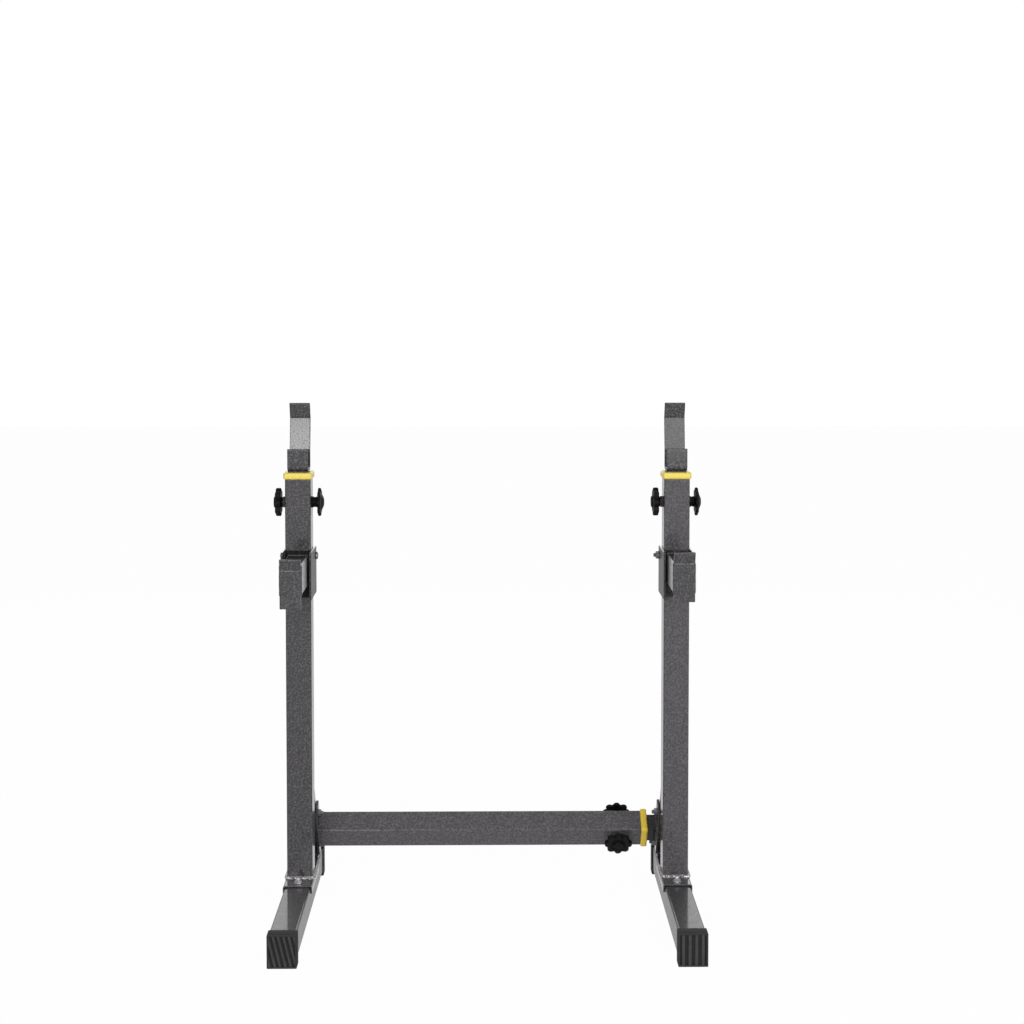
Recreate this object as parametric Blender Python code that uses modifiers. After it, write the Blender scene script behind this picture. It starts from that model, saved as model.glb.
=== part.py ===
# Squat stand: two uprights on long feet, each with a telescoping post, a bar hook and a
# safety catch, joined near the floor by a crossbar that telescopes as well.
# Metres, +Z up. The origin is on the floor under the middle of the stand, and the front,
# where the lifter stands, is towards -Y.

import math

import bmesh
import bpy
from mathutils import Matrix, Vector

# Clearances
GAP = 0.0003  # between pieces that touch
BOLT_CLEARANCE = 0.0003  # round a shank, all the way round

# Overall sizes
STANDS_APART = 0.735  # between the centre planes of the two stands
FOOT_FRONT_REACH = 0.337  # from the upright's centre to the front end of the foot
FOOT_REAR_REACH = 0.215
UPRIGHT_TOP = 0.845

# Square tubes: side, wall and outer corner radius
TUBE = 0.050
TUBE_WALL = 0.002
TUBE_RADIUS = 0.004
POST = 0.038
POST_WALL = 0.002
POST_RADIUS = 0.003
BRACE = 0.040
BRACE_WALL = 0.002
BRACE_RADIUS = 0.003

# Caps on the ends of the feet
CAP_SOLE = 0.009  # rubber under the tube
CAP_WALL = 0.0016
CAP_END = 0.008
CAP_SLEEVE = 0.020
CAP_RADIUS = 0.003
CAP_GROOVES = 4
CAP_GROOVE_WIDTH = 0.0045
CAP_GROOVE_DEPTH = 0.0015
CAP_GROOVE_MARGIN = 0.008

# Saddle that clamps the upright to its foot
SADDLE_SHEET = 0.003
SADDLE_LENGTH = 0.140
SADDLE_FLANGE = 0.012
SADDLE_BOLT = 0.052  # from the upright's centre, before and behind it

# Bolts
BOLT_RADIUS = 0.004
BOLT_HEAD_RADIUS = 0.0075
BOLT_HEAD_HEIGHT = 0.0042
BOLT_NUT_ACROSS = 0.013  # across the flats
BOLT_NUT_HEIGHT = 0.0065
BOLT_TIP = 0.0045

# Telescoping joints
COLLAR_SIDE = 0.056
COLLAR_FLANGE = 0.013
COLLAR_SLEEVE = 0.030
COLLAR_RADIUS = 0.003
GLIDE_LENGTH = 0.030
GLIDE_END = 0.003
KNOB_DROP = 0.046  # from the open end of the outer tube to the knobs
POST_SHOWS = 0.0027  # bare post between the collar and the hook, fully lowered
POST_BOTTOM = 0.085  # above the floor, fully lowered
POST_HOLE_PITCH = 0.055
POST_STAYS_INSIDE = 0.098  # the least that the top setting leaves in the upright
CROSSBAR_SHOWS = 0.0195
CROSSBAR_INNER_LENGTH = 0.505
CROSSBAR_HOLE_PITCH = 0.050
CROSSBAR_STAYS_INSIDE = 0.170

# Knobs, pins and what they screw into
KNOB_RADIUS = 0.0275
KNOB_LOBES = 8
KNOB_LOBE_DEPTH = 0.005
CLAMP_NUT_ACROSS = 0.019
CLAMP_NUT_HEIGHT = 0.006
CLAMP_SCREW_RADIUS = 0.006
CLAMP_HUB_RADIUS = 0.011
CLAMP_HUB_HEIGHT = 0.0024
CLAMP_STAR_HEIGHT = 0.011
KNOB_DOME_RADIUS = 0.012
CLAMP_DOME_HEIGHT = 0.0040
HOUSING_RADIUS = 0.011
HOUSING_HEIGHT = 0.011
PIN_RADIUS = 0.005
PIN_HOLE_CLEARANCE = 0.0007
PIN_BITE = 0.0015  # how far the tip stands inside the post's wall
PIN_STAR_HEIGHT = 0.008
PIN_DOME_HEIGHT = 0.0044

# Bar hook, bent from flat bar: inner outline from the seat's middle
HOOK_WIDTH = 0.040
HOOK_THICKNESS = 0.005
HOOK_OPENING = 0.040  # between the lip and the back
HOOK_LIP_HEIGHT = 0.038
HOOK_BACK_STRAIGHT = 0.034
HOOK_LEAN_RISE = 0.061
HOOK_LEAN = 0.010
HOOK_FLARE_RISE = 0.0295
HOOK_FLARE = 0.012
HOOK_SEAT_FORWARD = 0.001  # how far the seat's middle stands behind the post's centre
HOOK_BEND = 0.003  # inner radius

# Safety catch
CATCH_BELOW_TOP = 0.137  # from the upright's top to the bracket's
CATCH_HEIGHT = 0.092
CATCH_SHEET = 0.004
CATCH_FRONT_REACH = 0.040  # of the side plates, in front of the upright
CATCH_BOLT_EDGE = 0.013  # from the bolt's centre to the back edge of the plates
CATCH_BOLT_INSET = 0.018  # from the bracket's top to the bolt
ARM_WIDTH = 0.040
ARM_HEIGHT = 0.058
ARM_WALL = 0.0025
ARM_RADIUS = 0.003
ARM_REACH = 0.140  # from the upright's front to the catch's front
ARM_INSET = 0.024  # from the bracket's bottom up to the arm's
ARM_RISE = {"left": 0.0, "right": 0.003}  # how much higher each arm is welded on
CATCH_PLATE_THICKNESS = 0.005
CATCH_PLATE_DROP = 0.024  # below the arm
CATCH_PLATE_RISE = 0.012  # above the arm
PLATE_RISE = {"left": 0.0, "right": 0.012}  # how much higher each plate is welded on
CATCH_FLARE_RISE = 0.022
CATCH_FLARE = 0.007

# Braces and the crossbar's end plates
BRACE_ANGLE = math.radians(55.0)
BRACE_TO_CAP = 0.0026  # between the brace's lower end and the rear cap
CROSSBAR_UP_BRACE = 0.0724  # from there to the crossbar, along the brace
END_PLATE_THICKNESS = 0.005
END_PLATE_WIDTH = 0.050
END_PLATE_UP = 0.062
END_PLATE_DOWN = 0.054
END_PLATE_RADIUS = 0.006
END_PLATE_BOLTS = (0.050, -0.045)  # along the brace from the crossbar's centre

# Facets
CORNER_STEPS = 4
ROUND_STEPS = 20
HOLE_STEPS = 16

# Places that follow from the sizes
UPRIGHT_Y = (FOOT_FRONT_REACH - FOOT_REAR_REACH) / 2
FOOT_TOP = CAP_SOLE + GAP + TUBE
SADDLE_TOP = FOOT_TOP + GAP + SADDLE_SHEET
POST_TOP = UPRIGHT_TOP + GAP + COLLAR_FLANGE + POST_SHOWS
CATCH_TOP = UPRIGHT_TOP - CATCH_BELOW_TOP
CATCH_BOTTOM = CATCH_TOP - CATCH_HEIGHT
CAP_FRONT = FOOT_REAR_REACH - CAP_END - CAP_SLEEVE  # of the rear cap
BRACE_LANDING = CAP_FRONT - BRACE_TO_CAP - BRACE / 2 / math.sin(BRACE_ANGLE)
LANDING = Vector((0.0, UPRIGHT_Y + BRACE_LANDING, FOOT_TOP + GAP))
UP_BRACE = Vector((0.0, -math.cos(BRACE_ANGLE), math.sin(BRACE_ANGLE)))
OFF_BRACE = Vector((0.0, math.sin(BRACE_ANGLE), math.cos(BRACE_ANGLE)))
CROSSBAR_CENTRE = LANDING + UP_BRACE * CROSSBAR_UP_BRACE
SIDE_X = {"left": -STANDS_APART / 2, "right": STANDS_APART / 2}
INWARDS = {"left": 1.0, "right": -1.0}
END_PLATE_X = STANDS_APART / 2 - BRACE / 2 - GAP - END_PLATE_THICKNESS  # inner face

RIGHT = Vector((1.0, 0.0, 0.0))
BACK = Vector((0.0, 1.0, 0.0))
UP = Vector((0.0, 0.0, 1.0))

for leftover in list(bpy.data.objects):
    bpy.data.objects.remove(leftover, do_unlink=True)

parts = bpy.data.collections.new("squat_stand")
cutters = bpy.data.collections.new("cutters")
bpy.context.scene.collection.children.link(parts)
bpy.context.scene.collection.children.link(cutters)


def material(name, colour, roughness, metallic):
    """A plain Principled material."""
    made = bpy.data.materials.new(name)
    made.use_nodes = True
    shader = made.node_tree.nodes["Principled BSDF"]
    shader.inputs["Base Color"].default_value = (*colour, 1.0)
    shader.inputs["Roughness"].default_value = roughness
    shader.inputs["Metallic"].default_value = metallic
    return made


FRAME_PAINT = material("frame_paint", (0.105, 0.103, 0.108), 0.42, 0.35)
YELLOW_PLASTIC = material("yellow_plastic", (0.80, 0.62, 0.08), 0.45, 0.0)
BLACK_PLASTIC = material("black_plastic", (0.012, 0.012, 0.013), 0.40, 0.0)
BLACK_RUBBER = material("black_rubber", (0.030, 0.028, 0.030), 0.75, 0.0)
ZINC = material("zinc", (0.60, 0.60, 0.62), 0.30, 1.0)


def placement(origin, x_axis, y_axis):
    """A matrix whose local X and Y lie along two square world directions."""
    z_axis = x_axis.cross(y_axis)
    turn = Matrix((x_axis, y_axis, z_axis)).transposed()
    return Matrix.Translation(origin) @ turn.to_4x4()


def add_object(name, mesh, where, finish):
    """Puts a mesh in the scene. A piece with no finish is a cutter."""
    made = bpy.data.objects.new(name, mesh)
    made.matrix_world = where
    if finish is None:
        made.hide_render = True
        made.display_type = "WIRE"
        cutters.objects.link(made)
    else:
        mesh.materials.append(finish)
        parts.objects.link(made)
    return made


def rounded_rectangle(width, height, radius):
    """Outline round the origin, with an arc at each corner."""
    points = []
    for quarter in range(4):
        side_x = 1 if quarter in (0, 3) else -1
        side_y = 1 if quarter in (0, 1) else -1
        centre_x = side_x * (width / 2 - radius)
        centre_y = side_y * (height / 2 - radius)
        for step in range(CORNER_STEPS + 1):
            angle = math.pi / 2 * (quarter + step / CORNER_STEPS)
            points.append(
                (centre_x + radius * math.cos(angle), centre_y + radius * math.sin(angle))
            )
    return points


def circle(radius, steps=ROUND_STEPS):
    angles = [2 * math.pi * step / steps for step in range(steps)]
    return [(radius * math.cos(angle), radius * math.sin(angle)) for angle in angles]


def hexagon(across):
    return circle(across / 2 / math.cos(math.pi / 6), 6)


def star(radius):
    """Outline of a knob: a circle whose radius dips between the lobes."""
    points = []
    steps = KNOB_LOBES * 8
    for step in range(steps):
        angle = 2 * math.pi * step / steps
        dip = KNOB_LOBE_DEPTH * (1 - math.cos(KNOB_LOBES * angle)) / 2
        points.append(((radius - dip) * math.cos(angle), (radius - dip) * math.sin(angle)))
    return points


def bent_bar(path, thickness, bend):
    """Outline of a flat bar seen from its edge: a path with round bends, half the thickness
    to each side. bend is the inner radius."""
    radius = bend + thickness / 2
    stations = []
    for index, point in enumerate(path):
        here = Vector(point)
        before = (here - Vector(path[index - 1])).normalized() if index else None
        after = (
            (Vector(path[index + 1]) - here).normalized() if index + 1 < len(path) else None
        )
        if before is None or after is None:
            along = after or before
            stations.append((here, Vector((-along.y, along.x))))
            continue
        turn = math.atan2(before.x * after.y - before.y * after.x, before.dot(after))
        side = math.copysign(1.0, turn)
        start = here - before * radius * math.tan(abs(turn) / 2)
        normal = Vector((-before.y, before.x))
        centre = start + normal * side * radius
        for step in range(CORNER_STEPS + 2):
            spin = Matrix.Rotation(turn * step / (CORNER_STEPS + 1), 2)
            turned = spin @ normal
            stations.append((centre - turned * side * radius, turned))
    left = [tuple(place + normal * thickness / 2) for place, normal in stations]
    right = [tuple(place - normal * thickness / 2) for place, normal in stations]
    return left + right[::-1]


def prism(name, loops, low, high, where, finish):
    """Flat outlines in the local XY plane, drawn out from z = low to z = high. A loop inside
    another is a hole."""
    curve = bpy.data.curves.new(name, "CURVE")
    curve.dimensions = "2D"
    curve.fill_mode = "BOTH"
    curve.extrude = (high - low) / 2
    for loop in loops:
        spline = curve.splines.new("POLY")
        spline.points.add(len(loop) - 1)
        for point, (x, y) in zip(spline.points, loop):
            point.co = (x, y, 0.0, 1.0)
        spline.use_cyclic_u = True
    drawn = bpy.data.objects.new(name + "_outline", curve)
    drawn.matrix_world = where @ Matrix.Translation((0.0, 0.0, (low + high) / 2))
    cutters.objects.link(drawn)
    bpy.context.view_layer.update()
    evaluated = drawn.evaluated_get(bpy.context.evaluated_depsgraph_get())
    mesh = bpy.data.meshes.new_from_object(evaluated)
    where = drawn.matrix_world.copy()
    bpy.data.objects.remove(drawn, do_unlink=True)
    bpy.data.curves.remove(curve)
    built = bmesh.new()
    built.from_mesh(mesh)
    bmesh.ops.remove_doubles(built, verts=built.verts, dist=1e-6)
    bmesh.ops.recalc_face_normals(built, faces=built.faces)
    built.to_mesh(mesh)
    built.free()
    mesh.materials.clear()
    return add_object(name, mesh, where, finish)


def tube(name, side, wall, radius, low, high, where, finish):
    """Square tube along the local Z axis."""
    inside = side - 2 * wall
    loops = [
        rounded_rectangle(side, side, radius),
        rounded_rectangle(inside, inside, radius - wall),
    ]
    return prism(name, loops, low, high, where, finish)


def turned(name, profile, where, finish):
    """Round piece: a profile of (radius, height) points, from its top on the axis down its
    outer side, spun about the local Z axis."""
    mesh = bpy.data.meshes.new(name)
    points = [(radius, 0.0, height) for radius, height in profile]
    edges = [(index, index + 1) for index in range(len(points) - 1)]
    mesh.from_pydata(points, edges, [])
    made = add_object(name, mesh, where, finish)
    spin = made.modifiers.new("turn", "SCREW")
    spin.axis = "Z"
    spin.angle = 2 * math.pi
    spin.steps = ROUND_STEPS
    spin.render_steps = ROUND_STEPS
    spin.use_merge_vertices = True
    spin.merge_threshold = 1e-5
    mesh.shade_smooth()
    return made


def boxes(name, sizes_and_centres, where, finish):
    """One mesh of separate boxes, each given by its size and its centre."""
    built = bmesh.new()
    for size, centre in sizes_and_centres:
        shape = Matrix.Translation(centre) @ Matrix.Diagonal((*size, 1.0))
        bmesh.ops.create_cube(built, size=1.0, matrix=shape)
    mesh = bpy.data.meshes.new(name)
    built.to_mesh(mesh)
    built.free()
    return add_object(name, mesh, where, finish)


def drills(name, radius, ends, where):
    """One cutter of straight round bars, each from one local point to another."""
    built = bmesh.new()
    for start, end in ends:
        along = Vector(end) - Vector(start)
        middle = (Vector(end) + Vector(start)) / 2
        turn = along.to_track_quat("Z", "X").to_matrix().to_4x4()
        bmesh.ops.create_cone(
            built,
            cap_ends=True,
            segments=HOLE_STEPS,
            radius1=radius,
            radius2=radius,
            depth=along.length,
            matrix=Matrix.Translation(middle) @ turn,
        )
    mesh = bpy.data.meshes.new(name)
    built.to_mesh(mesh)
    built.free()
    return add_object(name, mesh, where, None)


def combine(piece, other, operation):
    """Boolean with a piece of the cutters collection."""
    change = piece.modifiers.new(other.name, "BOOLEAN")
    change.operation = operation
    change.object = other
    change.solver = "EXACT"


def joint_empty(name, where):
    """An empty on a joint's axis, which carries the pieces that move together."""
    made = bpy.data.objects.new(name, None)
    made.empty_display_size = 0.05
    made.matrix_world = where
    parts.objects.link(made)
    return made


def carry(empty, *pieces):
    bpy.context.view_layer.update()
    for piece in pieces:
        piece.parent = empty
        piece.matrix_parent_inverse = empty.matrix_world.inverted()


def bolt(name, grip, where):
    """Dome-headed bolt with its nut. Local z runs from under the head, at -GAP, through the
    grip to the nut."""
    nut_low = grip + GAP
    nut_high = nut_low + BOLT_NUT_HEIGHT
    profile = [
        (0.0, nut_high + BOLT_TIP),
        (BOLT_RADIUS * 0.8, nut_high + BOLT_TIP),
        (BOLT_RADIUS, nut_high + BOLT_TIP * 0.6),
        (BOLT_RADIUS, -GAP),
        (BOLT_HEAD_RADIUS, -GAP),
        (BOLT_HEAD_RADIUS, -GAP - BOLT_HEAD_HEIGHT * 0.3),
        (BOLT_HEAD_RADIUS * 0.7, -GAP - BOLT_HEAD_HEIGHT * 0.8),
        (0.0, -GAP - BOLT_HEAD_HEIGHT),
    ]
    made = turned(name, profile, where, ZINC)
    nut = prism(name + "_nut", [hexagon(BOLT_NUT_ACROSS)], nut_low, nut_high, where, None)
    combine(made, nut, "UNION")
    return made


def clamp_knob(name, where):
    """Star knob on a screw that presses on the inner tube. Local z = 0 is the outer tube's
    face, and z points out of it."""
    reach = (TUBE - POST) / 2 - GAP
    hub_low = CLAMP_NUT_HEIGHT + 2 * GAP
    star_low = hub_low + CLAMP_HUB_HEIGHT
    star_high = star_low + CLAMP_STAR_HEIGHT
    profile = [
        (0.0, star_high + CLAMP_DOME_HEIGHT),
        (KNOB_DOME_RADIUS * 0.6, star_high + CLAMP_DOME_HEIGHT * 0.8),
        (KNOB_DOME_RADIUS, star_high),
        (KNOB_DOME_RADIUS, star_low + CLAMP_STAR_HEIGHT / 2),
        (CLAMP_HUB_RADIUS, star_low),
        (CLAMP_HUB_RADIUS, hub_low),
        (CLAMP_SCREW_RADIUS, hub_low),
        (CLAMP_SCREW_RADIUS, -reach),
        (0.0, -reach),
    ]
    made = turned(name, profile, where, BLACK_PLASTIC)
    rim = prism(name + "_rim", [star(KNOB_RADIUS)], star_low, star_high, where, None)
    combine(made, rim, "UNION")
    return made


def clamp_nut(name, where):
    """Hexagon nut welded to the outer tube, for the clamp knob's screw."""
    loops = [hexagon(CLAMP_NUT_ACROSS), circle(CLAMP_SCREW_RADIUS + GAP)]
    return prism(name, loops, GAP, GAP + CLAMP_NUT_HEIGHT, where, ZINC)


def pin_housing(name, where):
    """Round housing on the outer tube, in which the pull pin slides."""
    loops = [circle(HOUSING_RADIUS), circle(PIN_RADIUS + GAP)]
    return prism(name, loops, GAP, GAP + HOUSING_HEIGHT, where, BLACK_PLASTIC)


def pull_pin(name, where):
    """Pull knob on a pin whose tip stands in a hole of the inner tube."""
    tip = -(TUBE - POST) / 2 - POST_WALL - PIN_BITE
    star_low = HOUSING_HEIGHT + 2 * GAP
    star_high = star_low + PIN_STAR_HEIGHT
    profile = [
        (0.0, star_high + PIN_DOME_HEIGHT),
        (KNOB_DOME_RADIUS * 0.6, star_high + PIN_DOME_HEIGHT * 0.8),
        (KNOB_DOME_RADIUS, star_high),
        (KNOB_DOME_RADIUS, star_low),
        (PIN_RADIUS, star_low),
        (PIN_RADIUS, tip + PIN_BITE / 2),
        (PIN_RADIUS - PIN_BITE / 2, tip),
        (0.0, tip),
    ]
    made = turned(name, profile, where, BLACK_PLASTIC)
    rim = prism(name + "_rim", [star(KNOB_RADIUS)], star_low, star_high, where, None)
    combine(made, rim, "UNION")
    return made


def collar(name, where):
    """Collar on the open end of an outer tube, with a sleeve down inside it."""
    bore = POST + 2 * GAP
    sleeve = TUBE - 2 * TUBE_WALL - 2 * GAP
    hole = rounded_rectangle(bore, bore, POST_RADIUS)
    flange = [rounded_rectangle(COLLAR_SIDE, COLLAR_SIDE, COLLAR_RADIUS), hole]
    liner = [rounded_rectangle(sleeve, sleeve, TUBE_RADIUS - TUBE_WALL), hole]
    made = prism(name, flange, GAP, GAP + COLLAR_FLANGE, where, YELLOW_PLASTIC)
    lower = prism(name + "_sleeve", liner, -COLLAR_SLEEVE, COLLAR_FLANGE / 2, where, None)
    combine(made, lower, "UNION")
    return made


def glide(name, where):
    """Plastic shoe on the hidden end of an inner tube. Local z = 0 is the tube's end, and z
    points along the tube."""
    outer = TUBE - 2 * TUBE_WALL - 2 * GAP
    pocket = POST + 2 * GAP
    made = prism(
        name,
        [rounded_rectangle(outer, outer, TUBE_RADIUS - TUBE_WALL)],
        -GAP - GLIDE_END,
        GLIDE_LENGTH - GLIDE_END,
        where,
        BLACK_PLASTIC,
    )
    hollow = prism(
        name + "_pocket",
        [rounded_rectangle(pocket, pocket, POST_RADIUS)],
        -GAP,
        GLIDE_LENGTH,
        where,
        None,
    )
    combine(made, hollow, "DIFFERENCE")
    return made


def telescope(prefix, outer, inner, where, outer_length, shows, inner_length, pitch, stays):
    """Outer tube, inner tube and all that guides and locks them. Local z = 0 is the outer
    tube's open end, z points out of it, and the pull pin is on the +X side. The inner tube
    has a hole at each setting that leaves at least the length stays inside."""
    body = tube(outer, TUBE, TUBE_WALL, TUBE_RADIUS, -outer_length, 0.0, where, FRAME_PAINT)
    knob_z = -KNOB_DROP
    screw_hole = drills(
        outer + "_screw_hole",
        CLAMP_SCREW_RADIUS + GAP,
        [((-TUBE, 0.0, knob_z), (0.0, 0.0, knob_z))],
        where,
    )
    pin_hole = drills(
        outer + "_pin_hole",
        PIN_RADIUS + GAP,
        [((0.0, 0.0, knob_z), (TUBE, 0.0, knob_z))],
        where,
    )
    combine(body, screw_hole, "DIFFERENCE")
    combine(body, pin_hole, "DIFFERENCE")

    inner_high = GAP + COLLAR_FLANGE + shows
    inner_low = inner_high - inner_length
    slider = tube(
        inner, POST, POST_WALL, POST_RADIUS, inner_low, inner_high, where, FRAME_PAINT
    )
    settings = 1 + math.floor((-inner_low - stays) / pitch)
    rows = [
        ((0.0, 0.0, knob_z - pitch * row), (POST, 0.0, knob_z - pitch * row))
        for row in range(settings)
    ]
    setting_holes = drills(
        inner + "_setting_holes", PIN_RADIUS + PIN_HOLE_CLEARANCE, rows, where
    )
    combine(slider, setting_holes, "DIFFERENCE")

    knob_side = TUBE / 2
    out_pin = where @ placement(Vector((knob_side, 0.0, knob_z)), BACK, UP)
    out_clamp = where @ placement(Vector((-knob_side, 0.0, knob_z)), -BACK, UP)
    fixed = [
        body,
        collar(prefix + "_collar", where),
        clamp_nut(prefix + "_clamp_nut", out_clamp),
        pin_housing(prefix + "_pin_housing", out_pin),
    ]
    end = where @ Matrix.Translation((0.0, 0.0, inner_low))
    shoe = glide(prefix + "_glide", end)
    knob = clamp_knob(prefix + "_clamp_knob", out_clamp)
    pin = pull_pin(prefix + "_pull_pin", out_pin)
    carry(joint_empty(prefix + "_clamp_axis", out_clamp), knob)
    carry(joint_empty(prefix + "_pin_axis", out_pin), pin)
    return fixed, [slider, shoe]


def foot(side):
    """Foot tube with a ribbed cap on each end."""
    x = SIDE_X[side]
    where = placement(Vector((x, UPRIGHT_Y, CAP_SOLE + GAP + TUBE / 2)), -RIGHT, UP)
    front = -FOOT_FRONT_REACH + CAP_END + GAP
    rear = FOOT_REAR_REACH - CAP_END - GAP
    body = tube(side + "_foot", TUBE, TUBE_WALL, TUBE_RADIUS, front, rear, where, FRAME_PAINT)
    holes = [
        ((0.0, -TUBE, y), (0.0, TUBE, y)) for y in (-SADDLE_BOLT, SADDLE_BOLT)
    ]
    bolt_holes = drills(
        side + "_foot_bolt_holes", BOLT_RADIUS + BOLT_CLEARANCE, holes, where
    )
    combine(body, bolt_holes, "DIFFERENCE")
    pieces = [body]
    for end, outwards in (("front", -1.0), ("rear", 1.0)):
        reach = FOOT_FRONT_REACH if end == "front" else FOOT_REAR_REACH
        place = Vector((x, UPRIGHT_Y + outwards * reach, 0.0))
        cap_frame = placement(place, RIGHT * -outwards, UP)
        pieces.append(cap(f"{side}_{end}_foot_cap", cap_frame))
    return pieces


def cap(name, where):
    """Cap over a foot's end. Local y is up from the floor, z = 0 is the ribbed end and z
    points out of the foot."""
    pocket = TUBE + 2 * GAP
    width = pocket + 2 * CAP_WALL
    height = CAP_SOLE + pocket + CAP_WALL
    middle = Matrix.Translation((0.0, height / 2, 0.0))
    made = prism(
        name,
        [rounded_rectangle(width, height, CAP_RADIUS)],
        -CAP_END - CAP_SLEEVE,
        0.0,
        where @ middle,
        BLACK_RUBBER,
    )
    tube_middle = Matrix.Translation((0.0, CAP_SOLE + pocket / 2, 0.0))
    hollow = prism(
        name + "_pocket",
        [rounded_rectangle(pocket, pocket, TUBE_RADIUS)],
        -CAP_END - 2 * CAP_SLEEVE,
        -CAP_END,
        where @ tube_middle,
        None,
    )
    combine(made, hollow, "DIFFERENCE")
    spacing = (width - 2 * CAP_GROOVE_MARGIN) / (CAP_GROOVES - 1)
    size = (CAP_GROOVE_WIDTH, height - 2 * CAP_GROOVE_MARGIN, 2 * CAP_GROOVE_DEPTH)
    rows = [
        (size, (spacing * (row - (CAP_GROOVES - 1) / 2), height / 2, 0.0))
        for row in range(CAP_GROOVES)
    ]
    combine(made, boxes(name + "_grooves", rows, where, None), "DIFFERENCE")
    return made


def saddle(side):
    """Folded sheet over the foot, which the upright stands on, and its two bolts."""
    x = SIDE_X[side]
    inner = TUBE / 2 + GAP
    outer = inner + SADDLE_SHEET
    low = FOOT_TOP - SADDLE_FLANGE
    roof = FOOT_TOP + GAP
    outline = [
        (-outer, low),
        (-inner, low),
        (-inner, roof),
        (inner, roof),
        (inner, low),
        (outer, low),
        (outer, SADDLE_TOP),
        (-outer, SADDLE_TOP),
    ]
    where = placement(Vector((x, UPRIGHT_Y, 0.0)), RIGHT, UP)
    half = SADDLE_LENGTH / 2
    sheet = prism(side + "_saddle", [outline], -half, half, where, FRAME_PAINT)
    rows = [
        ((0.0, low, z), (0.0, SADDLE_TOP + SADDLE_SHEET, z))
        for z in (-SADDLE_BOLT, SADDLE_BOLT)
    ]
    bolt_holes = drills(
        side + "_saddle_bolt_holes", BOLT_RADIUS + BOLT_CLEARANCE, rows, where
    )
    combine(sheet, bolt_holes, "DIFFERENCE")
    pieces = [sheet]
    for end, y in (("front", -SADDLE_BOLT), ("rear", SADDLE_BOLT)):
        base = Vector((x, UPRIGHT_Y + y, CAP_SOLE + GAP))
        grip = SADDLE_TOP - CAP_SOLE - GAP
        pieces.append(bolt(f"{side}_saddle_bolt_{end}", grip, placement(base, RIGHT, BACK)))
    return pieces


def brace(side):
    """Sloping tube from the back of the upright down to the foot."""
    x = SIDE_X[side]
    where = placement(LANDING + RIGHT * x, RIGHT, OFF_BRACE)
    top = (BRACE_LANDING + TUBE) / math.cos(BRACE_ANGLE)
    body = tube(
        side + "_brace", BRACE, BRACE_WALL, BRACE_RADIUS, -2 * BRACE, top, where, FRAME_PAINT
    )
    front = UPRIGHT_Y + TUBE / 2 + GAP
    depth = 2 * top
    below = ((depth, depth, depth), (x, UPRIGHT_Y, LANDING.z - depth / 2))
    ahead = ((depth, depth, 2 * depth), (x, front - depth / 2, 0.0))
    world = Matrix.Identity(4)
    combine(body, boxes(side + "_brace_foot_cut", [below], world, None), "DIFFERENCE")
    combine(body, boxes(side + "_brace_top_cut", [ahead], world, None), "DIFFERENCE")
    combine(body, end_plate_holes(side + "_brace_bolt_holes", side), "DIFFERENCE")
    return body


def end_plate_frame(side):
    """Local x runs off the brace, y up along it, and z along the crossbar to the right. The
    origin is on the crossbar's centre line, at the end plate's inner face."""
    x = -INWARDS[side] * END_PLATE_X
    return placement(CROSSBAR_CENTRE + RIGHT * x, OFF_BRACE, UP_BRACE)


def end_plate_holes(name, side):
    ends = [((0.0, up, -2 * BRACE), (0.0, up, 2 * BRACE)) for up in END_PLATE_BOLTS]
    return drills(name, BOLT_RADIUS + BOLT_CLEARANCE, ends, end_plate_frame(side))


def end_plate(side):
    """Plate welded to an end of the crossbar and bolted to the brace."""
    where = end_plate_frame(side)
    length = END_PLATE_UP + END_PLATE_DOWN
    middle = Matrix.Translation((0.0, (END_PLATE_UP - END_PLATE_DOWN) / 2, 0.0))
    thickness = -INWARDS[side] * END_PLATE_THICKNESS
    made = prism(
        f"crossbar_{side}_plate",
        [rounded_rectangle(END_PLATE_WIDTH, length, END_PLATE_RADIUS)],
        min(0.0, thickness),
        max(0.0, thickness),
        where @ middle,
        FRAME_PAINT,
    )
    holes = end_plate_holes(f"crossbar_{side}_plate_bolt_holes", side)
    combine(made, holes, "DIFFERENCE")
    pieces = [made]
    grip = END_PLATE_THICKNESS + GAP + BRACE
    for label, up in zip(("upper", "lower"), END_PLATE_BOLTS):
        outer_face = CROSSBAR_CENTRE + UP_BRACE * up
        outer_face.x = SIDE_X[side] - INWARDS[side] * BRACE / 2
        frame = placement(outer_face, BACK * INWARDS[side], UP)
        pieces.append(bolt(f"crossbar_{side}_bolt_{label}", grip, frame))
    return pieces


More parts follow.
